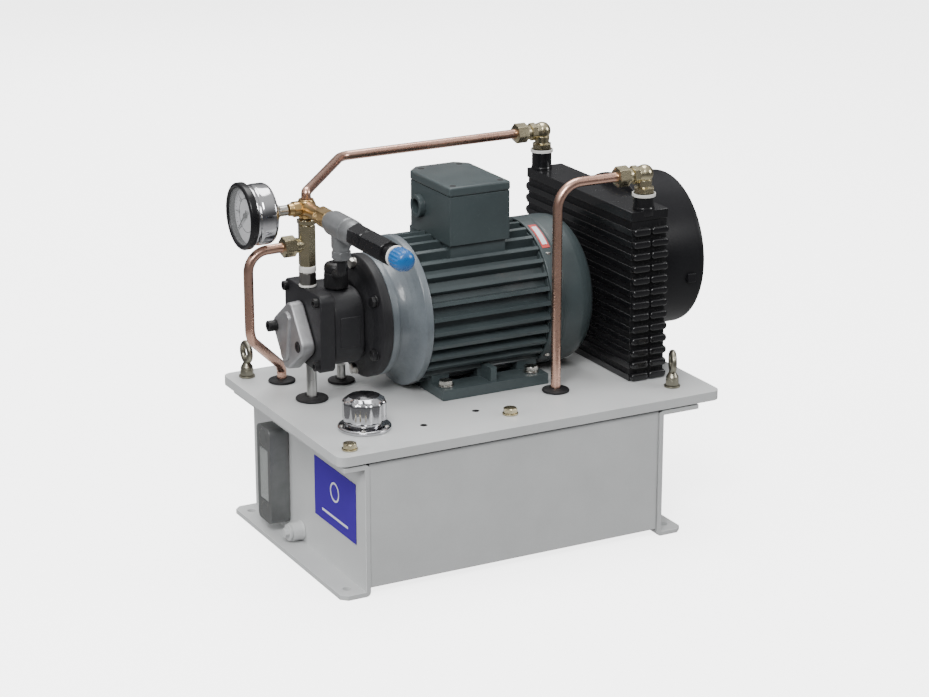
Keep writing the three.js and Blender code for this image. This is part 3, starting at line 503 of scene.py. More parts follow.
# Filler: a plated flange screwed to the lid, its neck, a fluted bayonet cap that turns and lifts
# off with its seal, and a wire strainer that hangs into the tank.
chrome = finish("bright_chrome", (0.60, 0.60, 0.61), (0.48, 0.48, 0.50), 0.12, 900, 0.00002, metal=1.0,
    blotch=90)
FILLER = middle("filler_flange")
neck_rows = [(0.3, 15.3), (0.3, 27), (3.0, 27), (4.2, 25.5), (4.6, 20.5), (6.2, 18), (20, 18),
    (20, 15.3), (0.3, 15.3)]
fit(turned("filler_neck", "z", on_deck(FILLER[0], FILLER[1]), neck_rows, 0.6), chrome, "chrome_plate",
    "filler_flange")
cap_rows = [(22.3, 0), (22.3, 18.7), (9, 18.7), (9, 21.2), (10, 22.3), (12.4, 22.5), (27.6, 22.4),
    (29.4, 21.6), (31.2, 19.4), (33.8, 15.6), (35.3, 9), (36, 4.5), (36, 0)]
fit(turned("filler_cap_fluted", "z", on_deck(FILLER[0], FILLER[1]), cap_rows, 0.5, 160,
    flutes=(10, 1.9, 21.0)), chrome, "chrome_plate", "filler_cap", body="filler_cap")
for i in range(5):
    turn_at = 2 * math.pi * (i + 0.35) / 5
    x, y = FILLER[0] + 0.0232 * math.cos(turn_at), FILLER[1] + 0.0232 * math.sin(turn_at)
    fit(turned(f"filler_screw_{i}", "z", (x, y, DECK + 0.0036), [(-3, 0), (-3, 1.6), (0.2, 1.6),
        (0.2, 2.9), (1.1, 2.7), (2.0, 1.6), (2.15, 0)], 0.2, 24), bright_zinc, "bright_steel")
coat_nodes(rubber, "filler_seal")
wire_mesh = finish("strainer_wire", (0.5, 0.49, 0.45), (0.25, 0.24, 0.22), 0.35, 2500, 0.0002, metal=1.0,
    blotch=200)
coat_nodes(wire_mesh, "filler_strainer", "suction_strainer")

# Grommets and pipes: moulded rubber rings line the four pipe holes. The pump's suction and case
# drain pipes are bright drawn steel.
GROMMETS = {"suction": (5.6, 12.5), "case_drain": (5.3, 10), "return": (5.3, 10), "leak": (5.3, 10)}
for pipe, (bore, hole) in GROMMETS.items():
    node = "grommet_" + pipe
    x, y = middle(node)[:2]
    rows = [(-9, bore), (-9, hole), (0.3, hole), (0.3, hole + 4), (1.4, hole + 4.4), (2.6, hole + 3.9),
        (4.2, bore + 2.2), (4.2, bore), (-9, bore)]
    fit(turned(node + "_ring", "z", on_deck(x, y), rows, 0.6, 72), rubber, "seal_rubber", node)
for node, radius in (("suction_pipe", 5.2), ("case_drain_pipe", 4.6)):
    low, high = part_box(node)
    rise = (high.z - low.z) / MM
    x, y = middle(node)[:2]
    fit(turned(node + "_drawn", "z", (x, y, low.z), [(0, 0), (0, radius), (rise, radius), (rise, 0)],
        0.3, 64), steel, "bright_steel", node)

# Motor: a finned aluminium frame on feet, a drive-end shield, and a pressed cowl over its fan,
# in dark blue-grey paint. The shield is a paler grey. Fins run along the shaft.
motor_paint = finish("motor_paint", (0.050, 0.066, 0.069), (0.034, 0.046, 0.049), 0.40, 1300, 0.00012,
    coat=0.1, dust=0.10, dust_tint=(0.15, 0.17, 0.17, 1), fleck=0.1, shine=0.4)
shield_paint = finish("shield_paint", (0.17, 0.195, 0.21), (0.085, 0.10, 0.115), 0.32, 700, 0.0002,
    coat=0.3, blotch=28, stretch=(6, 1, 1), spread=0.1)
fit(eased("motor_frame", 0.0006, 2, 32), motor_paint, "motor_paint", "motor_frame")
AXIS_Y, AXIS_Z = 0.0555, 0.230
at_shaft = (0.0, AXIS_Y, AXIS_Z)
SHIELD_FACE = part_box("drive_end_shield")[0].x / MM
f = SHIELD_FACE
fit(turned("drive_shield_cast", "x", at_shaft, [(f, 15), (f, 63.6), (f + 7.4, 63.6), (f + 8.6, 59.5),
    (f + 12, 60), (f + 17, 62), (f + 22, 65.8), (f + 26, 70), (f + 28.6, 75), (f + 30, 78.5),
    (f + 38, 78.5), (f + 38, 60), (f + 30, 58), (f + 28, 26), (f + 27, 20.3), (f + 14, 20.3),
    (f + 14, 15), (f, 15)], 1.2, 144), shield_paint, "shield_paint", "drive_end_shield")
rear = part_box("fan_cowl")[0].x / MM
fit(turned("rear_shield_cast", "x", at_shaft, [(rear - 4.3, 52), (rear - 4.3, 60.5), (rear - 0.3, 60.5),
    (rear - 0.3, 74), (rear + 3.7, 74), (rear + 5.7, 30), (rear + 11.7, 26), (rear + 11.7, 13),
    (rear + 8.7, 13), (rear + 8.7, 20.3), (rear - 2.3, 20.3), (rear - 2.3, 27), (rear + 0.7, 34),
    (rear + 0.7, 52), (rear - 4.3, 52)], 0.6, 144), motor_paint, "motor_paint", "rear_end_shield")
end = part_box("fan_cowl")[1].x / MM
fit(turned("fan_cowl_pressed", "x", at_shaft, [(rear, 76.8), (rear, 78.8), (rear + 14, 78.8),
    (rear + 14.8, 78.1), (rear + 16.4, 78.1), (rear + 17.2, 78.8), (end - 20, 78.8), (end - 14, 77.6),
    (end - 8, 74.8), (end - 3.6, 69.5), (end - 1, 62), (end, 50), (end, 22), (end - 2, 22),
    (end - 2, 50), (end - 4, 63), (end - 8.6, 72.6), (end - 18, 76.8), (rear, 76.8)], 1.0, 144),
    motor_paint, "motor_paint", "fan_cowl")
bars = []
for i in range(5):
    half = math.sqrt(22.4 ** 2 - (9.0 * (i - 2)) ** 2) * MM
    z = AXIS_Z + 0.009 * (i - 2)
    bars.append(block(f"cowl_bar_{i}", ((end - 1.7) * MM, AXIS_Y - half, z - 0.0017),
        ((end - 0.3) * MM, AXIS_Y + half, z + 0.0017), 0.3))
fit(join_pieces(*bars), motor_paint, "motor_paint")
for i in range(4):
    angle = math.pi * (0.25 + 0.5 * i)
    at = (rear * MM + 0.0075, AXIS_Y + 0.0770 * math.cos(angle), AXIS_Z + 0.0770 * math.sin(angle))
    screw = turned(f"cowl_screw_{i}", "y" if abs(math.sin(angle)) < 0.5 else "z", at,
        [(-2, 0), (-2, 3.6), (1.2, 3.6), (1.6, 0)], 0.3, 24)
    fit(screw, bright_zinc, "bright_steel")
sticker_red = finish("sticker_red", (0.55, 0.06, 0.05), (0.46, 0.05, 0.05), 0.4, 500, 0.00001)


def wrapped(name, low, high, radius, centre_angle, half_angle, thick=0.25):
    """Sheet on a round barrel: point = shaft + x along + R (cos t, sin t), with t about a middle angle."""
    x = np.array([low, high])[:, None]
    t = np.linspace(centre_angle - half_angle, centre_angle + half_angle, 13)[None, :]
    shell = [np.stack(np.broadcast_arrays(x, AXIS_Y / MM + r * np.cos(t), AXIS_Z / MM + r * np.sin(t)),
        -1) for r in (radius, radius + thick)]
    ring = np.concatenate([shell[0][:, ::-1], shell[1]], 1) * MM
    outline = ring.reshape(2, -1, 3)
    count = outline.shape[1]
    sides = lattice(2, count)
    half = np.arange(12)
    caps = [np.stack([half, half + 1, 24 - half, 25 - half], -1) + base for base in (0, count)]
    return add_piece(name, outline, np.concatenate([sides, *caps]), 30)


fit(wrapped("direction_sticker", rear + 3, rear + 12, 79.0, math.radians(118), math.radians(13)),
    sticker_red, "motor_paint")
fit(wrapped("direction_sticker_panel", rear + 4.6, rear + 10.4, 79.3, math.radians(118),
    math.radians(10)), print_white, "motor_paint")
black_nylon = finish("black_nylon", (0.014, 0.014, 0.015), (0.008, 0.008, 0.009), 0.40, 900, 0.00008,
    dust=0.05, shine=0.35)
coat_nodes(black_nylon, "motor_fan")
coat_nodes(finish("stator_iron", (0.20, 0.17, 0.13), (0.12, 0.10, 0.08), 0.5, 1800, 0.0002, metal=0.8),
    "stator_core")
coat_nodes(steel, "rotor_shaft", "drive_bearing", "rear_bearing", "pump_rotor")

# Terminal box: a cast box on the motor's shoulder with a screwed cover and a threaded cable hub,
# which is empty and open.
fit(eased("terminal_box", 0.0018, 4, 40), motor_paint, "motor_paint", "terminal_box")
fit(eased("terminal_box_cover", 0.0022, 4, 40), motor_paint, "motor_paint", "terminal_box_cover")
COVER_LOW, COVER_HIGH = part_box("terminal_box_cover")
corners = [(COVER_LOW.x + 0.008, COVER_LOW.y + 0.008), (COVER_HIGH.x - 0.008, COVER_LOW.y + 0.008),
           (COVER_LOW.x + 0.013, COVER_HIGH.y - 0.013), (COVER_HIGH.x - 0.013, COVER_HIGH.y - 0.013)]
# The cover screws and their pockets are coloured with the near-black painted hole shade.
for i, (x, y) in enumerate(corners):
    fit(turned(f"cover_screw_{i}", "z", (x, y, COVER_HIGH.z), [(-2, 0), (-2, 4.6), (-0.25, 4.6),
        (-0.25, 3.4), (0.05, 3.4), (0.05, 0)], 0.15, 32), painted_hole_shade, "motor_paint")
hub_at = (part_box("terminal_box")[0].x, 0.0735, 0.332)
fit(turned("cable_hub_ring", "x", hub_at, [(0.3, 8.1), (-0.2, 8.6), (-0.2, 11.2), (0.3, 12.0),
    (5.6, 12.2), (5.6, 8.1), (0.3, 8.1)], 0.3), motor_paint, "motor_paint")

# Pump: a black cast body bolted to a round adaptor flange on the motor, with socket screws in its
# end face and a raised side panel, and a bare cast cover held on the end by two socket screws.
pump_black = finish("pump_black", (0.020, 0.020, 0.022), (0.011, 0.011, 0.013), 0.48, 1500, 0.00025,
    blotch=45, dust=0.10, dust_tint=(0.09, 0.09, 0.09, 1), shine=0.35)
cast_silver = finish("cast_silver", (0.44, 0.44, 0.45), (0.32, 0.32, 0.33), 0.46, 1700, 0.0003,
    metal=0.75, blotch=60, spread=0.08)


def rounded_outline(half_u, half_v, corner, count=12):
    """Corner points and outward normals of a rectangle with round corners: centre + c (cos t, sin t)."""
    quarter = np.arange(4)[:, None]
    t = (quarter + np.linspace(0, 1, count)[None, :]) * math.pi / 2
    sign_u, sign_v = np.array([1, -1, -1, 1])[:, None], np.array([1, 1, -1, -1])[:, None]
    normal = np.stack([np.cos(t), np.sin(t)], -1)
    centre = np.stack(np.broadcast_arrays(sign_u * (half_u - corner), sign_v * (half_v - corner),
        np.zeros_like(t))[:2], -1)
    return (centre + corner * normal).reshape(-1, 2), normal.reshape(-1, 2)


def moulded(name, axis, at, outline, start, stop, edge=1.0, spin=0.0, draft=0.0):
    """Prism of an outline, its ends rounded: point = at + a axis + (P - d N) turned by spin, where the
    inset d follows a quarter circle of radius edge at each end and grows by draft towards stop."""
    points, normals = outline
    t = np.linspace(0, math.pi / 2, 6)
    inset = edge * np.concatenate([1 - np.sin(t), (1 - np.sin(t))[::-1]])
    way = 1 if stop > start else -1
    along = np.concatenate([start + way * edge * (1 - np.cos(t)), stop - way * edge * (1 - np.cos(t))[::-1]])
    inset = inset + draft * np.abs(along - start) / abs(stop - start)
    flat = points[None] - inset[:, None, None] * normals[None]
    centre = np.zeros((1,) + flat.shape[1:])
    flat = np.concatenate([centre, flat, centre])
    along = np.concatenate([[start], along, [stop]])
    c, s = math.cos(spin), math.sin(spin)
    u, v = flat[..., 0] * c - flat[..., 1] * s, flat[..., 0] * s + flat[..., 1] * c
    direction, side, other = AXES[axis]
    spatial = along[:, None, None] * direction + u[..., None] * side + v[..., None] * other
    return add_piece(name, np.array(at, float) + MM * spatial, lattice(len(along), len(points)))


PUMP_LOW, PUMP_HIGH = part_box("pump_body")
pump_half_y = (PUMP_HIGH.y - PUMP_LOW.y) / 2 / MM
pump_half_z = (PUMP_HIGH.z - PUMP_LOW.z) / 2 / MM
pump_length = (PUMP_HIGH.x - PUMP_LOW.x) / MM
pump_at = (PUMP_LOW.x, AXIS_Y, (PUMP_LOW.z + PUMP_HIGH.z) / 2)
END_PLATE = 16.0
fit(moulded("pump_end_plate", "x", pump_at, rounded_outline(pump_half_y, pump_half_z, 8), 0, END_PLATE,
    1.6), pump_black, "pump_iron", "pump_body")
fit(moulded("pump_ring_body", "x", pump_at, rounded_outline(pump_half_y - 1.2, pump_half_z - 1.6, 24),
    END_PLATE + 0.1, pump_length, 3.0), pump_black, "pump_iron")
panel_low = (PUMP_LOW.x + 0.0225, PUMP_LOW.y + 0.0004, pump_at[2] - 0.0165)
fit(block("pump_side_panel", panel_low, (PUMP_LOW.x + 0.0445, PUMP_LOW.y + 0.004, pump_at[2] + 0.0155), 0.8),
    pump_black, "pump_iron")


def socket_screw(name, axis, at, way, radius, height, socket):
    """Cap screw: plain round head with a hexagon socket sunk in it; height in mm along way."""
    rows = [(-2 * way, 0), (-2 * way, radius * 0.6), (0, radius * 0.6), (0, radius),
        ((height - 0.4) * way, radius), (height * way, radius - 0.5),
        (height * way, socket / math.sqrt(3) + 0.2), ((height - 0.3) * way, socket / math.sqrt(3),
        socket), ((height * 0.45) * way, socket / math.sqrt(3), socket), ((height * 0.45) * way, 0)]
    return turned(name, axis, at, rows, 0.12, 72, 0.3)


for i, (v, w) in enumerate(((1, 1), (1, -1), (-1, 1), (-1, -1))):
    at = (PUMP_LOW.x, AXIS_Y + v * (pump_half_y - 7.5) * MM, pump_at[2] + w * (pump_half_z - 7.5) * MM)
    fit(socket_screw(f"pump_screw_{i}", "x", at, -1, 5.0, 5.0, 5), satin_black, "pump_iron")

COVER_TILT = 0.16
square = rounded_outline(29.5, 29.5, 11)
boss_outline = rounded_outline(8.6, 27.4, 8)
cover_at = (PUMP_LOW.x, 0.0615, 0.2175)
cover_plate = moulded("pump_cover_plate", "x", cover_at, square, -0.4, -15, 2.2,
    math.pi / 4 + COVER_TILT, 1.0)
cover_boss = moulded("pump_cover_boss", "x", cover_at, boss_outline, -12, -18.4, 1.2, COVER_TILT, 0.9)
fit(join_pieces(cover_plate, cover_boss), cast_silver, "cover_casting", "pump_end_cover")
for i, side in enumerate((-1, 1)):
    y = cover_at[1] - side * 0.027 * math.cos(COVER_TILT)
    z = cover_at[2] - side * 0.027 * math.sin(COVER_TILT)
    seat = turned(f"cover_seat_{i}", "x", (PUMP_LOW.x, y, z), [(-13, 6.2), (-15.06, 6.2), (-15.06, 7.4),
        (-13, 7.4), (-13, 6.2)], 0.2, 48)
    fit(seat, cast_silver, "cover_casting")
    far = side < 0
    fit(socket_screw(f"cover_screw_head_{i}", "x", (PUMP_LOW.x - 0.0145, y, z), -1, 5.8,
        10.2 if far else 1.6, 6), satin_black, "pump_iron")

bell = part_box("bell_housing")[0].x / MM
fit(turned("adaptor_flange", "x", at_shaft, [(bell, 10), (bell, 41), (bell + 2, 44), (bell + 5.7, 50),
    (bell + 8, 57), (bell + 10.7, 62.5), (bell + 12, 64), (bell + 21.4, 64), (bell + 21.4, 30),
    (bell + 6.7, 30), (bell + 6.7, 10), (bell, 10)], 1.0, 144), pump_black, "pump_iron", "bell_housing")
for i in range(6):
    angle = math.radians(30 + 60 * i)
    at = ((bell + 9.2) * MM, AXIS_Y + 0.0562 * math.cos(angle), AXIS_Z + 0.0562 * math.sin(angle))
    fit(hex_bolt(f"flange_bolt_{i}", "x", at, 10, 4.5, 6.2, 6, way=-1, turn=0.4 * i),
        bright_zinc if i in (1, 4) else satin_black, "bright_steel")

# Fittings on the pump: the return elbow's black cap, the outlet column of zinc adaptors with a
# white sealing ring, and the brass tee that carries the gauge and the relief valve.
low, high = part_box("return_fitting")
fit(turned("return_cap", "z", ((low.x + high.x) / 2, (low.y + high.y) / 2, low.z), [(0, 0), (0, 12.3),
    (15, 12.3), (15.6, 11.6), (16.4, 11.6), (17, 12.3), (21.6, 12.1), (24.6, 10.4), (26.1, 6.6),
    (24, 5.2), (19.8, 5), (19.8, 0)], 0.6, 96), black_nylon, "black_nylon", "return_fitting")
seal_white = finish("seal_white", (0.72, 0.71, 0.68), (0.62, 0.61, 0.58), 0.45, 900, 0.00005, blotch=120)
grey_zinc = finish("grey_zinc", (0.34, 0.33, 0.31), (0.22, 0.21, 0.20), 0.33, 900, 0.00006, metal=1.0,
    blotch=90)
column_x, column_y = -0.175, AXIS_Y
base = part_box("outlet_column")[0].z
column_at = (column_x, column_y, base)
fit(turned("column_washer", "z", column_at, [(0, 5), (0, 8.9), (2.1, 8.9), (2.1, 5), (0, 5)], 0.4, 72),
    seal_white, "zinc_plate", "outlet_column")
fit(turned("column_lower_nut", "z", column_at, [(2.2, 0), *hex_head(2.2, 14.6, 16), (14.7, 0)], 0.3, 96,
    0.35), grey_zinc, "zinc_plate")
fit(turned("column_band", "z", column_at, [(14.8, 0), (14.8, 8.2), (15.4, 8.9), (21.0, 8.9), (21.6, 8.2),
    (21.6, 0)], 0.4, 72), seal_white, "zinc_plate")
fit(turned("column_body", "z", column_at, [(21.7, 0), *hex_head(21.7, 64.2, 16), (64.3, 7.2),
    (64.9, 7.2), *hex_head(64.9, 70, 18), (70.1, 0)], 0.3, 96, 0.35), zinc, "zinc_plate")
leak_z = 0.313
fit(turned("column_side_port", "x", (column_x, column_y, leak_z), [(0, 0), (0, 6.4), (-8.2, 6.4),
    (-8.4, 7.0), (-9.4, 7.0), (-9.4, 0)], 0.2, 64), zinc, "zinc_plate")

brass = finish("machined_brass", (0.62, 0.44, 0.22), (0.45, 0.30, 0.13), 0.30, 900, 0.00005, metal=1.0,
    blotch=90, spread=0.1)
TEE_Z = 0.3505
tee_at = (column_x, column_y, TEE_Z)
tee_parts = [turned("tee_upright", "z", tee_at, [(-10, 0), (-10, 7.6), (-8, 8.2), (-7, 8.6), (7, 8.6),
    (8, 7.8), (9.3, 7.8), (9.3, 0)], 0.6, 64), turned("tee_gauge_arm", "x", tee_at, [(-19.8, 0),
    (-19.8, 6.2), (-15, 6.6), (-15, 8.0, 15), (-8.4, 8.0, 15), (-8, 7.2), (0, 7.6), (7.6, 7.6),
    (8.4, 6.8), (8.4, 0)], 0.4, 72), turned("tee_valve_arm", "y", tee_at, [(-57.7, 0), (-57.7, 8.2),
    (-57, 10.2, 18), (-35, 10.2, 18), (-34.3, 8.4), (-32, 7.3), (-14, 7.3), (-9, 8.2), (7.6, 7.8),
    (8.4, 6.8), (8.4, 0)], 0.4, 72, 0.3),]
fit(join_pieces(*tee_parts), brass, "tee_brass", "pressure_tee")

# Relief valve: a turned grey cartridge body with a port below, a black hexagonal spring housing,
# a white lock washer and a blue knob that screws in against the spring.
valve_grey = finish("valve_grey", (0.25, 0.255, 0.26), (0.15, 0.155, 0.16), 0.42, 1300, 0.00018,
    metal=0.6, blotch=60)
gloss_black = finish("gloss_black", (0.009, 0.009, 0.010), (0.005, 0.005, 0.006), 0.28, 900, 0.00004,
    coat=0.1, dust=0.03, dust_tint=(0.06, 0.06, 0.06, 1), shine=0.3)
valve_at = (column_x, 0.0155, TEE_Z)
low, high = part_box("relief_valve_body")
front, back = (low.y - valve_at[1]) / MM, (high.y - valve_at[1]) / MM
valve_body = turned("valve_barrel", "y", valve_at, [(front, 0), (front, 10.6), (front + 2, 11.2),
    (front + 6, 12.2), (-62, 12.6), (-60.6, 11.7), (-59.4, 11.7), (-58, 12.6), (back - 8, 12.5),
    (back - 6, 10.8), (back - 2, 10.6), (back, 9.8), (back, 0)], 0.6, 96)
port_at = (column_x, valve_at[1] - 0.041, TEE_Z)
valve_port = turned("valve_port", "z", port_at, [(0, 0), (0, 9.8), (-20, 9.8), (-22, 8.8), (-24.6, 8.2),
    (-25.2, 10.4, 18.5), (-30.8, 10.4, 18.5), (-31.4, 8.4), (-32.9, 8.4), (-32.9, 0)], 0.5, 96)
fit(join_pieces(valve_body, valve_port), valve_grey, "pump_iron", "relief_valve_body")
low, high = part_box("relief_spring_housing")
start, stop = (high.y - valve_at[1]) / MM, (low.y - valve_at[1]) / MM
HOUSING_HEX, GROOVE = (12.3, 21.6), 10.3
shoulder = stop + 15
fit(turned("spring_housing", "y", valve_at, [(start, 0), (start, GROOVE), (start - 1.0, *HOUSING_HEX),
    (start - 26, *HOUSING_HEX), (start - 27, GROOVE), (start - 30, GROOVE), (start - 31, *HOUSING_HEX),
    (shoulder + 1, *HOUSING_HEX), (shoulder, GROOVE), (shoulder, 8.1), (stop + 3.3, 8.1),
    (stop + 3.3, 0)], 0.5, 96, 0.12), gloss_black, "black_oxide", "relief_spring_housing")
fit(turned("lock_washer", "y", valve_at, [(stop + 3.2, 0), (stop + 3.2, 10.6), (stop, 10.6), (stop, 0)],
    0.5, 72), seal_white, "black_oxide")
knob_blue = finish("knob_blue", (0.016, 0.125, 0.36), (0.010, 0.085, 0.27), 0.28, 900, 0.00006, coat=0.2,
    blotch=80)
low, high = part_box("relief_knob")
top, tip = (high.y - valve_at[1]) / MM, (low.y - valve_at[1]) / MM
fit(turned("knob_moulded", "y", valve_at, [(top, 0), (top, 9.6), (top - 2.4, 10.9), (tip + 9, 11.0),
    (tip + 5, 10.2), (tip + 2.0, 8.0), (tip + 0.5, 5.2), (tip, 3), (tip, 0)], 0.9, 144,
    flutes=(18, 0.6, 9.9)), knob_blue, "knob_blue", "relief_knob", body="relief_knob")

# Tubing: 10 mm copper tube bent cold, with zinc compression nuts, and the short black hose from the
# relief valve to the return cap.
copper = finish("drawn_copper", (0.80, 0.52, 0.41), (0.64, 0.37, 0.28), 0.28, 500, 0.000008, metal=1.0,
    blotch=28, spread=0.14)
TUBE = 5.0


def swept(name, corners, radius, bend, reference, sides=40, steps=14):
    """Round bar along a path of straights joined by arcs: ring = p + R (cos t n + sin t b), where
    n = unit(tangent x reference) and b = tangent x n. Lengths in mm."""
    corners = np.array(corners, float)
    path = [corners[0]]
    for before, corner, after in zip(corners[:-2], corners[1:-1], corners[2:]):
        back, ahead = before - corner, after - corner
        reach = min(bend, 0.45 * np.linalg.norm(back), 0.45 * np.linalg.norm(ahead))
        back, ahead = back / np.linalg.norm(back), ahead / np.linalg.norm(ahead)
        half_angle = math.acos(float(np.clip(back @ ahead, -1, 1))) / 2
        cut = min(reach / math.tan(half_angle) if half_angle < 1.5 else reach,
            0.45 * np.linalg.norm(before - corner), 0.45 * np.linalg.norm(after - corner))
        arc_radius = cut * math.tan(half_angle)
        inward = (back + ahead) / np.linalg.norm(back + ahead)
        centre = corner + inward * cut / math.cos(half_angle)
        sweep = np.linspace(-(math.pi / 2 - half_angle), math.pi / 2 - half_angle, steps)[:, None]
        across = (ahead - back) / np.linalg.norm(ahead - back)
        path.extend(centre + arc_radius * (np.sin(sweep) * across - np.cos(sweep) * inward))
    path = np.array(path + [corners[-1]])
    tangent = np.gradient(path, axis=0)
    tangent[0], tangent[-1] = path[1] - path[0], path[-1] - path[-2]
    tangent /= np.linalg.norm(tangent, axis=1, keepdims=True)
    normal = np.cross(tangent, np.array(reference, float))
    normal /= np.linalg.norm(normal, axis=1, keepdims=True)
    binormal = np.cross(tangent, normal)
    t = np.linspace(0, 2 * math.pi, sides, endpoint=False)[None, :, None]
    rings = path[:, None] + radius * (np.cos(t) * normal[:, None] + np.sin(t) * binormal[:, None])
    ends = [np.broadcast_to(path[i], (1, sides, 3)) for i in (0, -1)]
    rings = np.concatenate([ends[0], rings, ends[1]])
    return add_piece(name, rings * MM, lattice(len(rings), sides), 50)


INLET = {"x": 152.5, "y": 155.5, "z": 374.0}
RETURN = {"x": 159.5, "y": -44.5, "z": 369.0, "drop": 57.5}
tee_top = TEE_Z / MM + 9.8
inlet_end, return_end = INLET["x"] - 16.3, RETURN["x"] - 16.3
inlet_route = [(-175, 55.5, tee_top), (-175, 55.5, 367), (-89.5, INLET["y"], INLET["z"] - 1.5),
    (inlet_end - 10, INLET["y"], INLET["z"])]
fit(swept("inlet_tube_bent", inlet_route, TUBE, 20, (0.5, -0.8, 0.3)), copper, "copper", "inlet_tube")
return_route = [(RETURN["drop"], RETURN["y"], 70), (RETURN["drop"], RETURN["y"], RETURN["z"]),
    (return_end - 10, RETURN["y"], RETURN["z"])]
fit(swept("return_tube_bent", return_route, TUBE, 26, (0, 1, 0)), copper, "copper", "return_tube")
leak_x, leak_y = middle("grommet_leak")[0] / MM, middle("grommet_leak")[1] / MM
leak_end = -175 - 9.8
leak_route = [(leak_end - 8, 55.5, 313), (-239.5, 55.5, 312), (-239.5, 55.5, 222),
    (leak_x - 5, leak_y - 6, 172), (leak_x, leak_y, 163), (leak_x, leak_y, 70)]
fit(swept("leak_tube_bent", leak_route, TUBE, 22, (0.3, 1, 0.1)), copper, "copper", "leak_tube")
hose_route = [(-175, -25.5, TEE_Z / MM - 33.3), (-175, -25.5, 304), (-156.9, 26.4, 286.6)]
fit(swept("relief_hose", hose_route, 4.5, 12, (0.9, -0.3, 0.2)), rubber, "black_oxide", "relief_return_tube")


def tube_nut(name, at, length=18.0):
    """Compression nut along +x: a chamfered hexagon with a round nose at each end."""
    rows = [(0, 5.0), (0, 6.4), (0.6, 8.2), (1.2, 10.9, 19), (length - 4.4, 10.9, 19),
        (length - 3.6, 8.6), (length - 3.2, 7.8), (length, 7.8), (length, 5.0), (0, 5.0)]
    return turned(name, "x", at, rows, 0.4, 96, 0.25)


for name, x, y, z in (("inlet", inlet_end, INLET["y"], INLET["z"]), ("return", return_end, RETURN["y"],
        RETURN["z"]), ("leak", leak_end, 55.5, 313)):
    fit(tube_nut(name + "_nut", ((x - 18) * MM, y * MM, z * MM)), zinc, "zinc_plate")


def elbow(name, at, port):
    """Forged elbow: a quarter-bent round body between a hexagon below and a collar towards -x."""
    x, y, z = at["x"], at["y"], at["z"]
    place = (x * MM, y * MM, z * MM)
    drop = port - z
    foot = turned(name + "_foot", "z", place, [(drop + 0.3, 0), (drop + 0.3, 9.4),
        (drop + 0.9, 11.4, 20), (drop + 5.6, 11.4, 20), (drop + 6.2, 9.4), (drop + 6.8, 7.7), (-6, 8.4),
        (-2, 0)], 0.4, 96)
    collar = turned(name + "_collar", "x", place, [(-15.9, 0), (-15.9, 7.4), (-15.2, 9.7, 17),
        (-9.4, 9.7, 17), (-8.6, 8.2), (-4, 8.6), (0, 0)], 0.4, 96, 0.3)
    t = np.linspace(0, math.pi, 33)[:, None]
    s = np.linspace(0, 2 * math.pi, 48, endpoint=False)[None, :]
    ball = np.stack([np.sin(t) * np.cos(s), np.sin(t) * np.sin(s), np.cos(t) + 0 * s], -1) * 9.5
    knuckle = add_piece(name + "_knuckle", np.array(place) + MM * ball, lattice(33, 48))
    return join_pieces(foot, collar, knuckle)


fit(elbow("inlet_elbow_forged", INLET, 354), zinc, "zinc_plate", "inlet_elbow")
fit(elbow("return_elbow_forged", RETURN, 349), zinc, "zinc_plate", "return_elbow")

# Sealing rings: a white bonded ring sits round each cooler port, under its elbow, where the
# elbow's hexagon is tightened down on it.
for name, place, port in (("inlet", INLET, 354), ("return", RETURN, 349)):
    fit(turned(name + "_seal", "z", (place["x"] * MM, place["y"] * MM, port * MM), [(-3.4, 10.9),
        (-3.4, 12.3), (-0.1, 12.3), (-0.1, 10.9), (-3.4, 10.9)], 0.3, 72), seal_white, "zinc_plate")

# Pressure gauge: a black bezel crimped on a chromed steel case, with a printed dial, a black
# pointer, a clear lens and a threaded stem at the back.
dial_white = finish("dial_white", (0.50, 0.50, 0.52), (0.45, 0.45, 0.47), 0.45, 700, 0.00001)
dial_black = finish("dial_black", (0.012, 0.012, 0.014), (0.007, 0.007, 0.009), 0.45, 900, 0.00002)
gauge_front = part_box("gauge_case")[0].x
gauge_at = (gauge_front, AXIS_Y, TEE_Z)
fit(turned("gauge_bezel", "x", gauge_at, [(9, 28.9), (1.4, 28.9), (0, 30.2), (0, 32.2), (1.6, 33.8),
    (7.6, 33.8), (8.2, 31.2), (9, 31.0), (9, 28.9)], 0.7, 144), gloss_black, "gauge_black", "gauge_case")
fit(turned("gauge_body", "x", gauge_at, [(9.1, 0), (9.1, 30.9), (11.5, 30.9), (13, 30.2), (15, 30.2),
    (16.5, 30.9), (28, 30.9), (31, 29.4), (32, 27), (32, 0)], 1.0, 144), chrome, "chrome_plate")
fit(turned("gauge_stem", "x", gauge_at, [(32.1, 0), (32.1, 7), (33, 7), (33.4, 8.0, 14), (42.4, 8.0, 14),
    (43, 6.2), (43.8, 5.4), (51.8, 5.4), (51.8, 0)], 0.3, 96, 0.2), bright_zinc, "bright_steel")
fit(turned("gauge_dial", "x", gauge_at, [(8.7, 0), (8.3, 28.6), (9.0, 28.6), (9.0, 0)], 0.05, 144),
    dial_white, "gauge_glass")


def dial_mark(name, inner, outer, angle, width, thick=0.25):
    """Flat bar on the dial from radius inner to outer, at angle about the shaft: P = r e + w n."""
    spoke = np.array([math.cos(angle), math.sin(angle)])
    side = np.array([-spoke[1], spoke[0]])
    ends = np.array([[inner, -width], [outer, -width], [outer, width], [inner, width]]) / np.array([1, 2])
    flat = ends[:, :1] * spoke + ends[:, 1:] * side
    layers = [np.concatenate([np.full((4, 1), 8.45 - lift), flat], 1) for lift in (0.0, thick)]
    points = np.array(gauge_at) + MM * np.concatenate(layers)
    around = np.arange(4)
    walls = np.stack([around, (around + 1) % 4, (around + 1) % 4 + 4, around + 4], -1)
    return add_piece(name, points, np.concatenate([walls, [[3, 2, 1, 0], [4, 5, 6, 7]]]), 30)


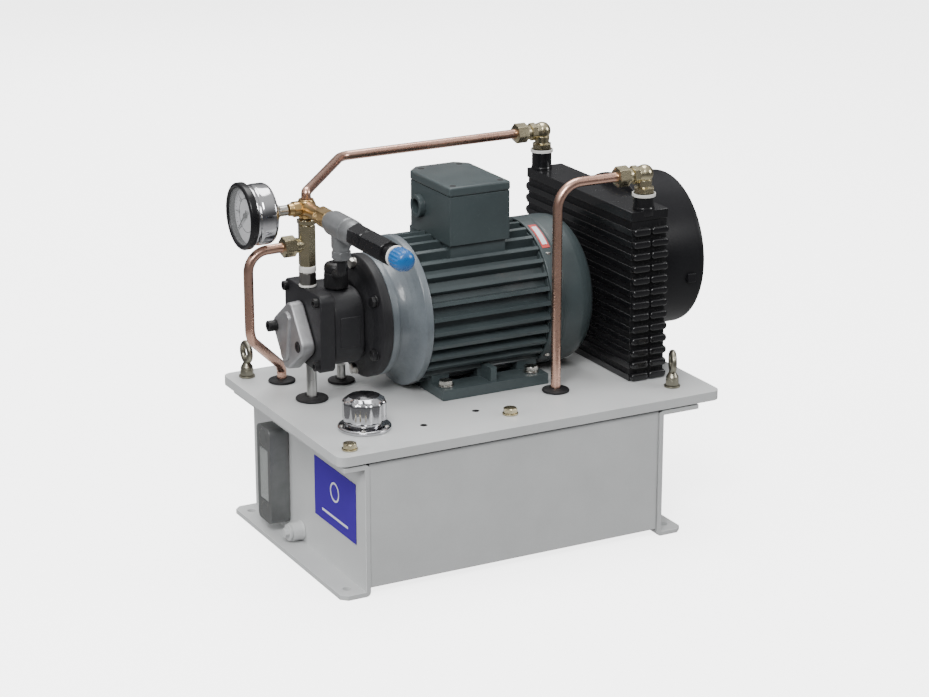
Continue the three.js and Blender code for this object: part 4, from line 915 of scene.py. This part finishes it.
marks = []
for i in range(31):
    angle = math.radians(-45 + 9 * i)
    marks.append(dial_mark(f"dial_mark_{i}", 21.5 if i % 5 == 0 else 23.8, 26.2, angle,
        1.1 if i % 5 == 0 else 0.55))
marks.append(turned("dial_ring", "x", gauge_at, [(8.5, 16.6), (8.2, 16.6), (8.2, 17.2), (8.5, 17.2),
    (8.5, 16.6)], 0.02, 72))
fit(join_pieces(*marks), dial_black, "gauge_black")
for i in range(7):
    curve = bpy.data.curves.new(f"dial_number_{i}", "FONT")
    curve.body, curve.size, curve.extrude, curve.align_x, curve.align_y = str(i
        * 10), 0.0062, 0.0001, "CENTER", "CENTER"
    text = bpy.data.objects.new(f"dial_number_{i}", curve)
    bpy.context.collection.objects.link(text)
    bpy.context.view_layer.update()
    mesh = bpy.data.meshes.new_from_object(text.evaluated_get(bpy.context.evaluated_depsgraph_get()))
    bpy.data.objects.remove(text)
    angle = math.radians(-45 + 45 * i)
    flat = np.empty(len(mesh.vertices) * 3)
    mesh.vertices.foreach_get("co", flat)
    flat = flat.reshape(-1, 3)
    placed = np.stack([gauge_front + 0.0083 - flat[:, 2], AXIS_Y + 0.0188 * math.cos(angle) - flat[:, 0],
                       TEE_Z + 0.0188 * math.sin(angle) + flat[:, 1]], -1)
    mesh.vertices.foreach_set("co", placed.ravel())
    number = bpy.data.objects.new(f"dial_figure_{i}", mesh)
    bpy.context.collection.objects.link(number)
    tidy(mesh)
    fit(number, dial_black, "gauge_black")


def needle(name):
    """Tapered bar: half-width w(r) from tail to tip, carried along r at 45 degrees down, with a hub."""
    r = np.array([-8.0, -7.6, -3.0, 0.0, 12.0, 23.4, 24.0])
    w = np.array([0.3, 2.0, 1.5, 1.4, 0.75, 0.28, 0.1])
    spoke, side = np.array([1, -1]) / math.sqrt(2), np.array([1, 1]) / math.sqrt(2)
    rows = []
    for sign, depth in ((-1, 6.7), (1, 6.7), (1, 6.2), (-1, 6.2)):
        flat = r[:, None] * spoke + sign * w[:, None] * side
        rows.append(np.concatenate([np.full((len(r), 1), depth), flat], 1))
    grid = np.stack(rows, 1)
    ends = [np.broadcast_to(grid[i].mean(0), (1, 4, 3)) for i in (0, -1)]
    grid = np.concatenate([ends[0], grid, ends[1]])
    return add_piece(name, np.array(gauge_at) + MM * grid, lattice(len(grid), 4), 30)


hub = turned("pointer_hub", "x", gauge_at, [(5.6, 0), (5.6, 2.0), (6.0, 2.8), (7.9, 2.9), (7.9, 0)], 0.2, 48)
fit(join_pieces(needle("pointer_needle"), hub), dial_black, "gauge_black", "gauge_pointer",
    body="gauge_pointer")
lens = bpy.data.materials.new("gauge_lens_clear")
lens.use_nodes = True
lens_shader = lens.node_tree.nodes["Principled BSDF"]
lens_shader.inputs["Base Color"].default_value = (0.9, 0.92, 0.92, 1)
lens_shader.inputs["Alpha"].default_value = 0.10
lens_shade = Shade(lens.node_tree)
smear = lens_shade.node("TexNoise", Vector=lens_shade.node("TexCoord", output=3), Scale=160.0, Detail=3.0)
lens.node_tree.links.new((smear * 0.08 + 0.01).socket, lens_shader.inputs["Roughness"])
fit(turned("gauge_lens_disc", "x", gauge_at, [(4, 0), (4, 28.7), (2.1, 28.7), (2.1, 0)], 0.3, 144), lens,
    "gauge_glass", "gauge_lens")

# Oil cooler: a brazed stack of black plates and bars. Each layer ends in two rounded bars, the
# flat faces show thin separator plates with fins between them, and two bosses take the elbows.
COOLER_LOW, COOLER_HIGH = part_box("cooler_matrix")
PITCH, LAYERS = 13.0, 13
cooler_top = 0.332
cooler_black = finish("cooler_black", (0.009, 0.009, 0.010), (0.005, 0.005, 0.006), 0.24, 900, 0.00006,
    coat=0.25, blotch=60, dust=0.03, dust_tint=(0.06, 0.06, 0.06, 1), shine=0.4)
fin_black = finish("fin_black", (0.010, 0.010, 0.011), (0.004, 0.004, 0.005), 0.42, 300, 0.0012, blotch=160,
                   stretch=(1, 9, 0.6), shine=0.3)
core = block("cooler_core", (COOLER_LOW.x + 0.0016, COOLER_LOW.y + 0.0062, COOLER_LOW.z),
             (COOLER_HIGH.x - 0.0016, COOLER_HIGH.y - 0.0062, cooler_top - 0.002), 0.4)
fit(core, fin_black, "cooler_black", "cooler_matrix")
plates = []
for i in range(LAYERS + 1):
    z = COOLER_LOW.z + (PITCH * i if i < LAYERS else (cooler_top - COOLER_LOW.z) / MM - 10.5) * MM
    rise = 0.0070 if i < LAYERS else 0.0105
    plates.append(block(f"cooler_plate_{i}", (COOLER_LOW.x + 0.0002, COOLER_LOW.y + 0.0052, z + 0.0001),
                        (COOLER_HIGH.x - 0.0002, COOLER_HIGH.y - 0.0052, z + rise - 0.0001), 0.5))
for plate in plates:
    plate.modifiers["edges"].segments = 2
fit(join_pieces(*plates), cooler_black, "cooler_black")
bar_outline = rounded_outline(10.4, 4.1, 3.6, 5)
bars = []
for i in range(LAYERS):
    z = COOLER_LOW.z + (PITCH * i + 4.3) * MM
    for side, (outer, inner) in enumerate(((COOLER_LOW.y, COOLER_LOW.y + 0.0085),
            (COOLER_HIGH.y, COOLER_HIGH.y - 0.0085))):
        for half in range(2):
            x = (COOLER_LOW.x + COOLER_HIGH.x) / 2 + (half - 0.5) * 0.0214
            at = (x, inner, z)
            flat = (bar_outline[0][:, ::-1], bar_outline[1][:, ::-1])
            bars.append(moulded(f"cooler_bar_{i}_{side}_{half}", "y", at, flat, 0, (outer - inner) / MM, 2.2))
fit(join_pieces(*bars), cooler_black, "cooler_black")
for name, place, port in (("inlet", INLET, 354), ("return", RETURN, 349)):
    at = (place["x"] * MM, place["y"] * MM, cooler_top)
    fit(turned(name + "_boss", "z", at, [(-6, 0), (-6, 11.4), (1.5, 11.4), (3, 10.8),
        (port - 332 - 3.6, 10.8), (port - 332 - 0.1, 10.8), (port - 332 - 0.1, 0)], 0.4, 72),
        cooler_black, "cooler_black")

# Fan shroud: a pressed black steel plate with a rolled round tunnel, the fan motor on four flat
# struts, and a wire guard of rings over the outlet.
SHROUD_AT = (0.0, AXIS_Y, 0.257)
face, tunnel_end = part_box("fan_shroud")[0].x / MM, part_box("fan_shroud")[1].x / MM
shroud_black = finish("shroud_black", (0.014, 0.014, 0.016), (0.008, 0.008, 0.009), 0.38, 500, 0.0001,
    blotch=16, dust=0.03, dust_tint=(0.06, 0.06, 0.06, 1), shine=0.15)
PLATE_HALF_Y, PLATE_HALF_Z, PLATE_Z = 103.0, 86.0, 242.0


def holed_plate(name, x0, x1, hole, count=144):
    """Plate round a hole: at angle t the hole's edge is R (cos t, sin t), and the outer edge is the
    rectangle's, min(a / |cos t|, b / |sin t|), with four rings of points joined as a closed band."""
    t = np.linspace(0, 2 * math.pi, count, endpoint=False)
    offset = PLATE_Z - SHROUD_AT[2] / MM
    reach_y = PLATE_HALF_Y / np.maximum(np.abs(np.cos(t)), 1e-6)
    reach_z = np.where(np.sin(t) > 0, PLATE_HALF_Z + offset,
        PLATE_HALF_Z - offset) / np.maximum(np.abs(np.sin(t)), 1e-6)
    reach = np.minimum(reach_y, reach_z)
    rings = []
    for radius, x in ((hole, x0), (reach, x0), (reach, x1), (hole, x1), (hole, x0)):
        rings.append(np.stack([np.full(count, x), AXIS_Y / MM + radius * np.cos(t),
            SHROUD_AT[2] / MM + radius * np.sin(t)], -1))
    return add_piece(name, MM * np.stack(rings), lattice(5, count), 30)


fit(holed_plate("shroud_plate", face + 0.1, face + 2, 81.2), shroud_black, "cooler_black")
fit(turned("shroud_tunnel", "x", SHROUD_AT, [
    (face + 0.2, 81), (face + 0.2, 86.6), (face + 3.6, 86.6), (face + 4.6, 83.2), (tunnel_end - 8, 82.8),
    (tunnel_end - 3.4, 82.9), (tunnel_end - 0.6, 82.2), (tunnel_end - 0.1, 80.6), (tunnel_end - 1.2, 79.2),
    (tunnel_end - 4, 79.2), (tunnel_end - 6, 81), (face + 0.2, 81)], 0.9, 180), shroud_black, "cooler_black",
    "fan_shroud")
fit(turned("fan_motor_can", "x", SHROUD_AT, [
    (tunnel_end - 29.9, 0), (tunnel_end - 29.9, 25), (tunnel_end - 28, 25.8), (tunnel_end - 8, 25.8),
    (tunnel_end - 5, 24.6), (tunnel_end - 4, 20), (tunnel_end - 3.2, 19), (tunnel_end - 3.2, 8),
    (tunnel_end - 4.2, 7), (tunnel_end - 4.2, 0)], 0.9, 96), black_nylon, "black_nylon")
struts, wires = [], []
for i in range(4):
    angle = math.pi * (0.25 + 0.5 * i)
    spoke = np.array([0, math.cos(angle), math.sin(angle)])
    start, stop = (np.array(SHROUD_AT) / MM + r * spoke for r in (22.0, 81.6))
    lift = np.array([tunnel_end - 8.0, 0, 0])
    struts.append(swept(f"shroud_strut_{i}", [start + lift, (start + stop) / 2 + lift, stop + lift], 2.6,
        4, (1, 0.01, 0), 20))
fit(join_pieces(*struts), shroud_black, "cooler_black")
for i, radius in enumerate((34.0, 45.0, 56.0, 67.0, 78.0)):
    a, wire = tunnel_end - 3.9, 1.2
    t = np.linspace(0, 2 * math.pi, 11)
    section = [(a - wire * math.cos(k), radius - wire * math.sin(k)) for k in t]
    wires.append(turned(f"guard_ring_{i}", "x", SHROUD_AT, section, 0.1, 120))
for i in range(8):
    angle = math.pi * (0.125 + 0.25 * i)
    spoke = np.array([0, math.cos(angle), math.sin(angle)])
    start, stop = (np.array(SHROUD_AT) / MM + r * spoke + np.array([tunnel_end - 5.6, 0, 0])
        for r in (24.0, 81.4))
    wires.append(swept(f"guard_spoke_{i}", [start, (start + stop) / 2, stop], 1.3, 4, (1, 0.01, 0), 16))
fit(join_pieces(*wires), shroud_black, "cooler_black")
fit(block("shroud_lug", ((tunnel_end - 22) * MM, AXIS_Y - 0.0850, 0.2385), ((tunnel_end - 12) * MM,
    AXIS_Y - 0.0775, 0.2485), 1.0), shroud_black, "cooler_black")

# Cooler fan: six moulded nylon blades on a hub, turned by the fan motor.
FAN_X, BLADE_ROOT, BLADE_TIP, BLADE_PITCH = 202.0, 21.0, 75.0, 0.62


def blade(name, angle):
    """Blade: chord c from -1 to 1 and radius r give p = r e + c h(r) (cos q n + sin q x), with pitch q
    falling from root to tip, a camber of 1 - c^2, and a thin oval section round the chord."""
    r = np.linspace(BLADE_ROOT, BLADE_TIP, 14)[:, None]
    s = np.linspace(0, 2 * math.pi, 24, endpoint=False)[None, :]
    share = (r - BLADE_ROOT) / (BLADE_TIP - BLADE_ROOT)
    half = 11.0 + 9.0 * np.sin(share * math.pi * 0.6)
    pitch = BLADE_PITCH * (1.25 - 0.5 * share)
    chord = half * np.cos(s)
    thick = 0.9 * np.sin(s) + 1.6 * (1 - (chord / half) ** 2)
    along = chord * np.sin(pitch) + thick * np.cos(pitch)
    across = chord * np.cos(pitch) - thick * np.sin(pitch) + 6.0 * share ** 2
    radial = np.sqrt(np.maximum(r ** 2 - across ** 2, 1.0))
    e, n = np.array([math.cos(angle), math.sin(angle)]), np.array([-math.sin(angle), math.cos(angle)])
    y = radial * e[0] + across * n[0]
    z = radial * e[1] + across * n[1]
    points = np.stack([FAN_X + along, AXIS_Y / MM + y, SHROUD_AT[2] / MM + z], -1)
    ends = [np.broadcast_to(points[i].mean(0), (1, 24, 3)) for i in (0, -1)]
    return add_piece(name, MM * np.concatenate([ends[0], points, ends[1]]), lattice(16, 24), 50)


fan_hub = turned("fan_hub", "x", SHROUD_AT, [(188.6, 0), (188.6, 18), (190, 22), (194, 24), (215, 24),
    (215, 20), (215, 0)], 1.0, 96)
fan_blades = [blade(f"fan_blade_{i}", 2 * math.pi * i / 6) for i in range(6)]
fit(join_pieces(fan_hub, *fan_blades), black_nylon, "black_nylon", "cooler_fan", body="cooling_fan")
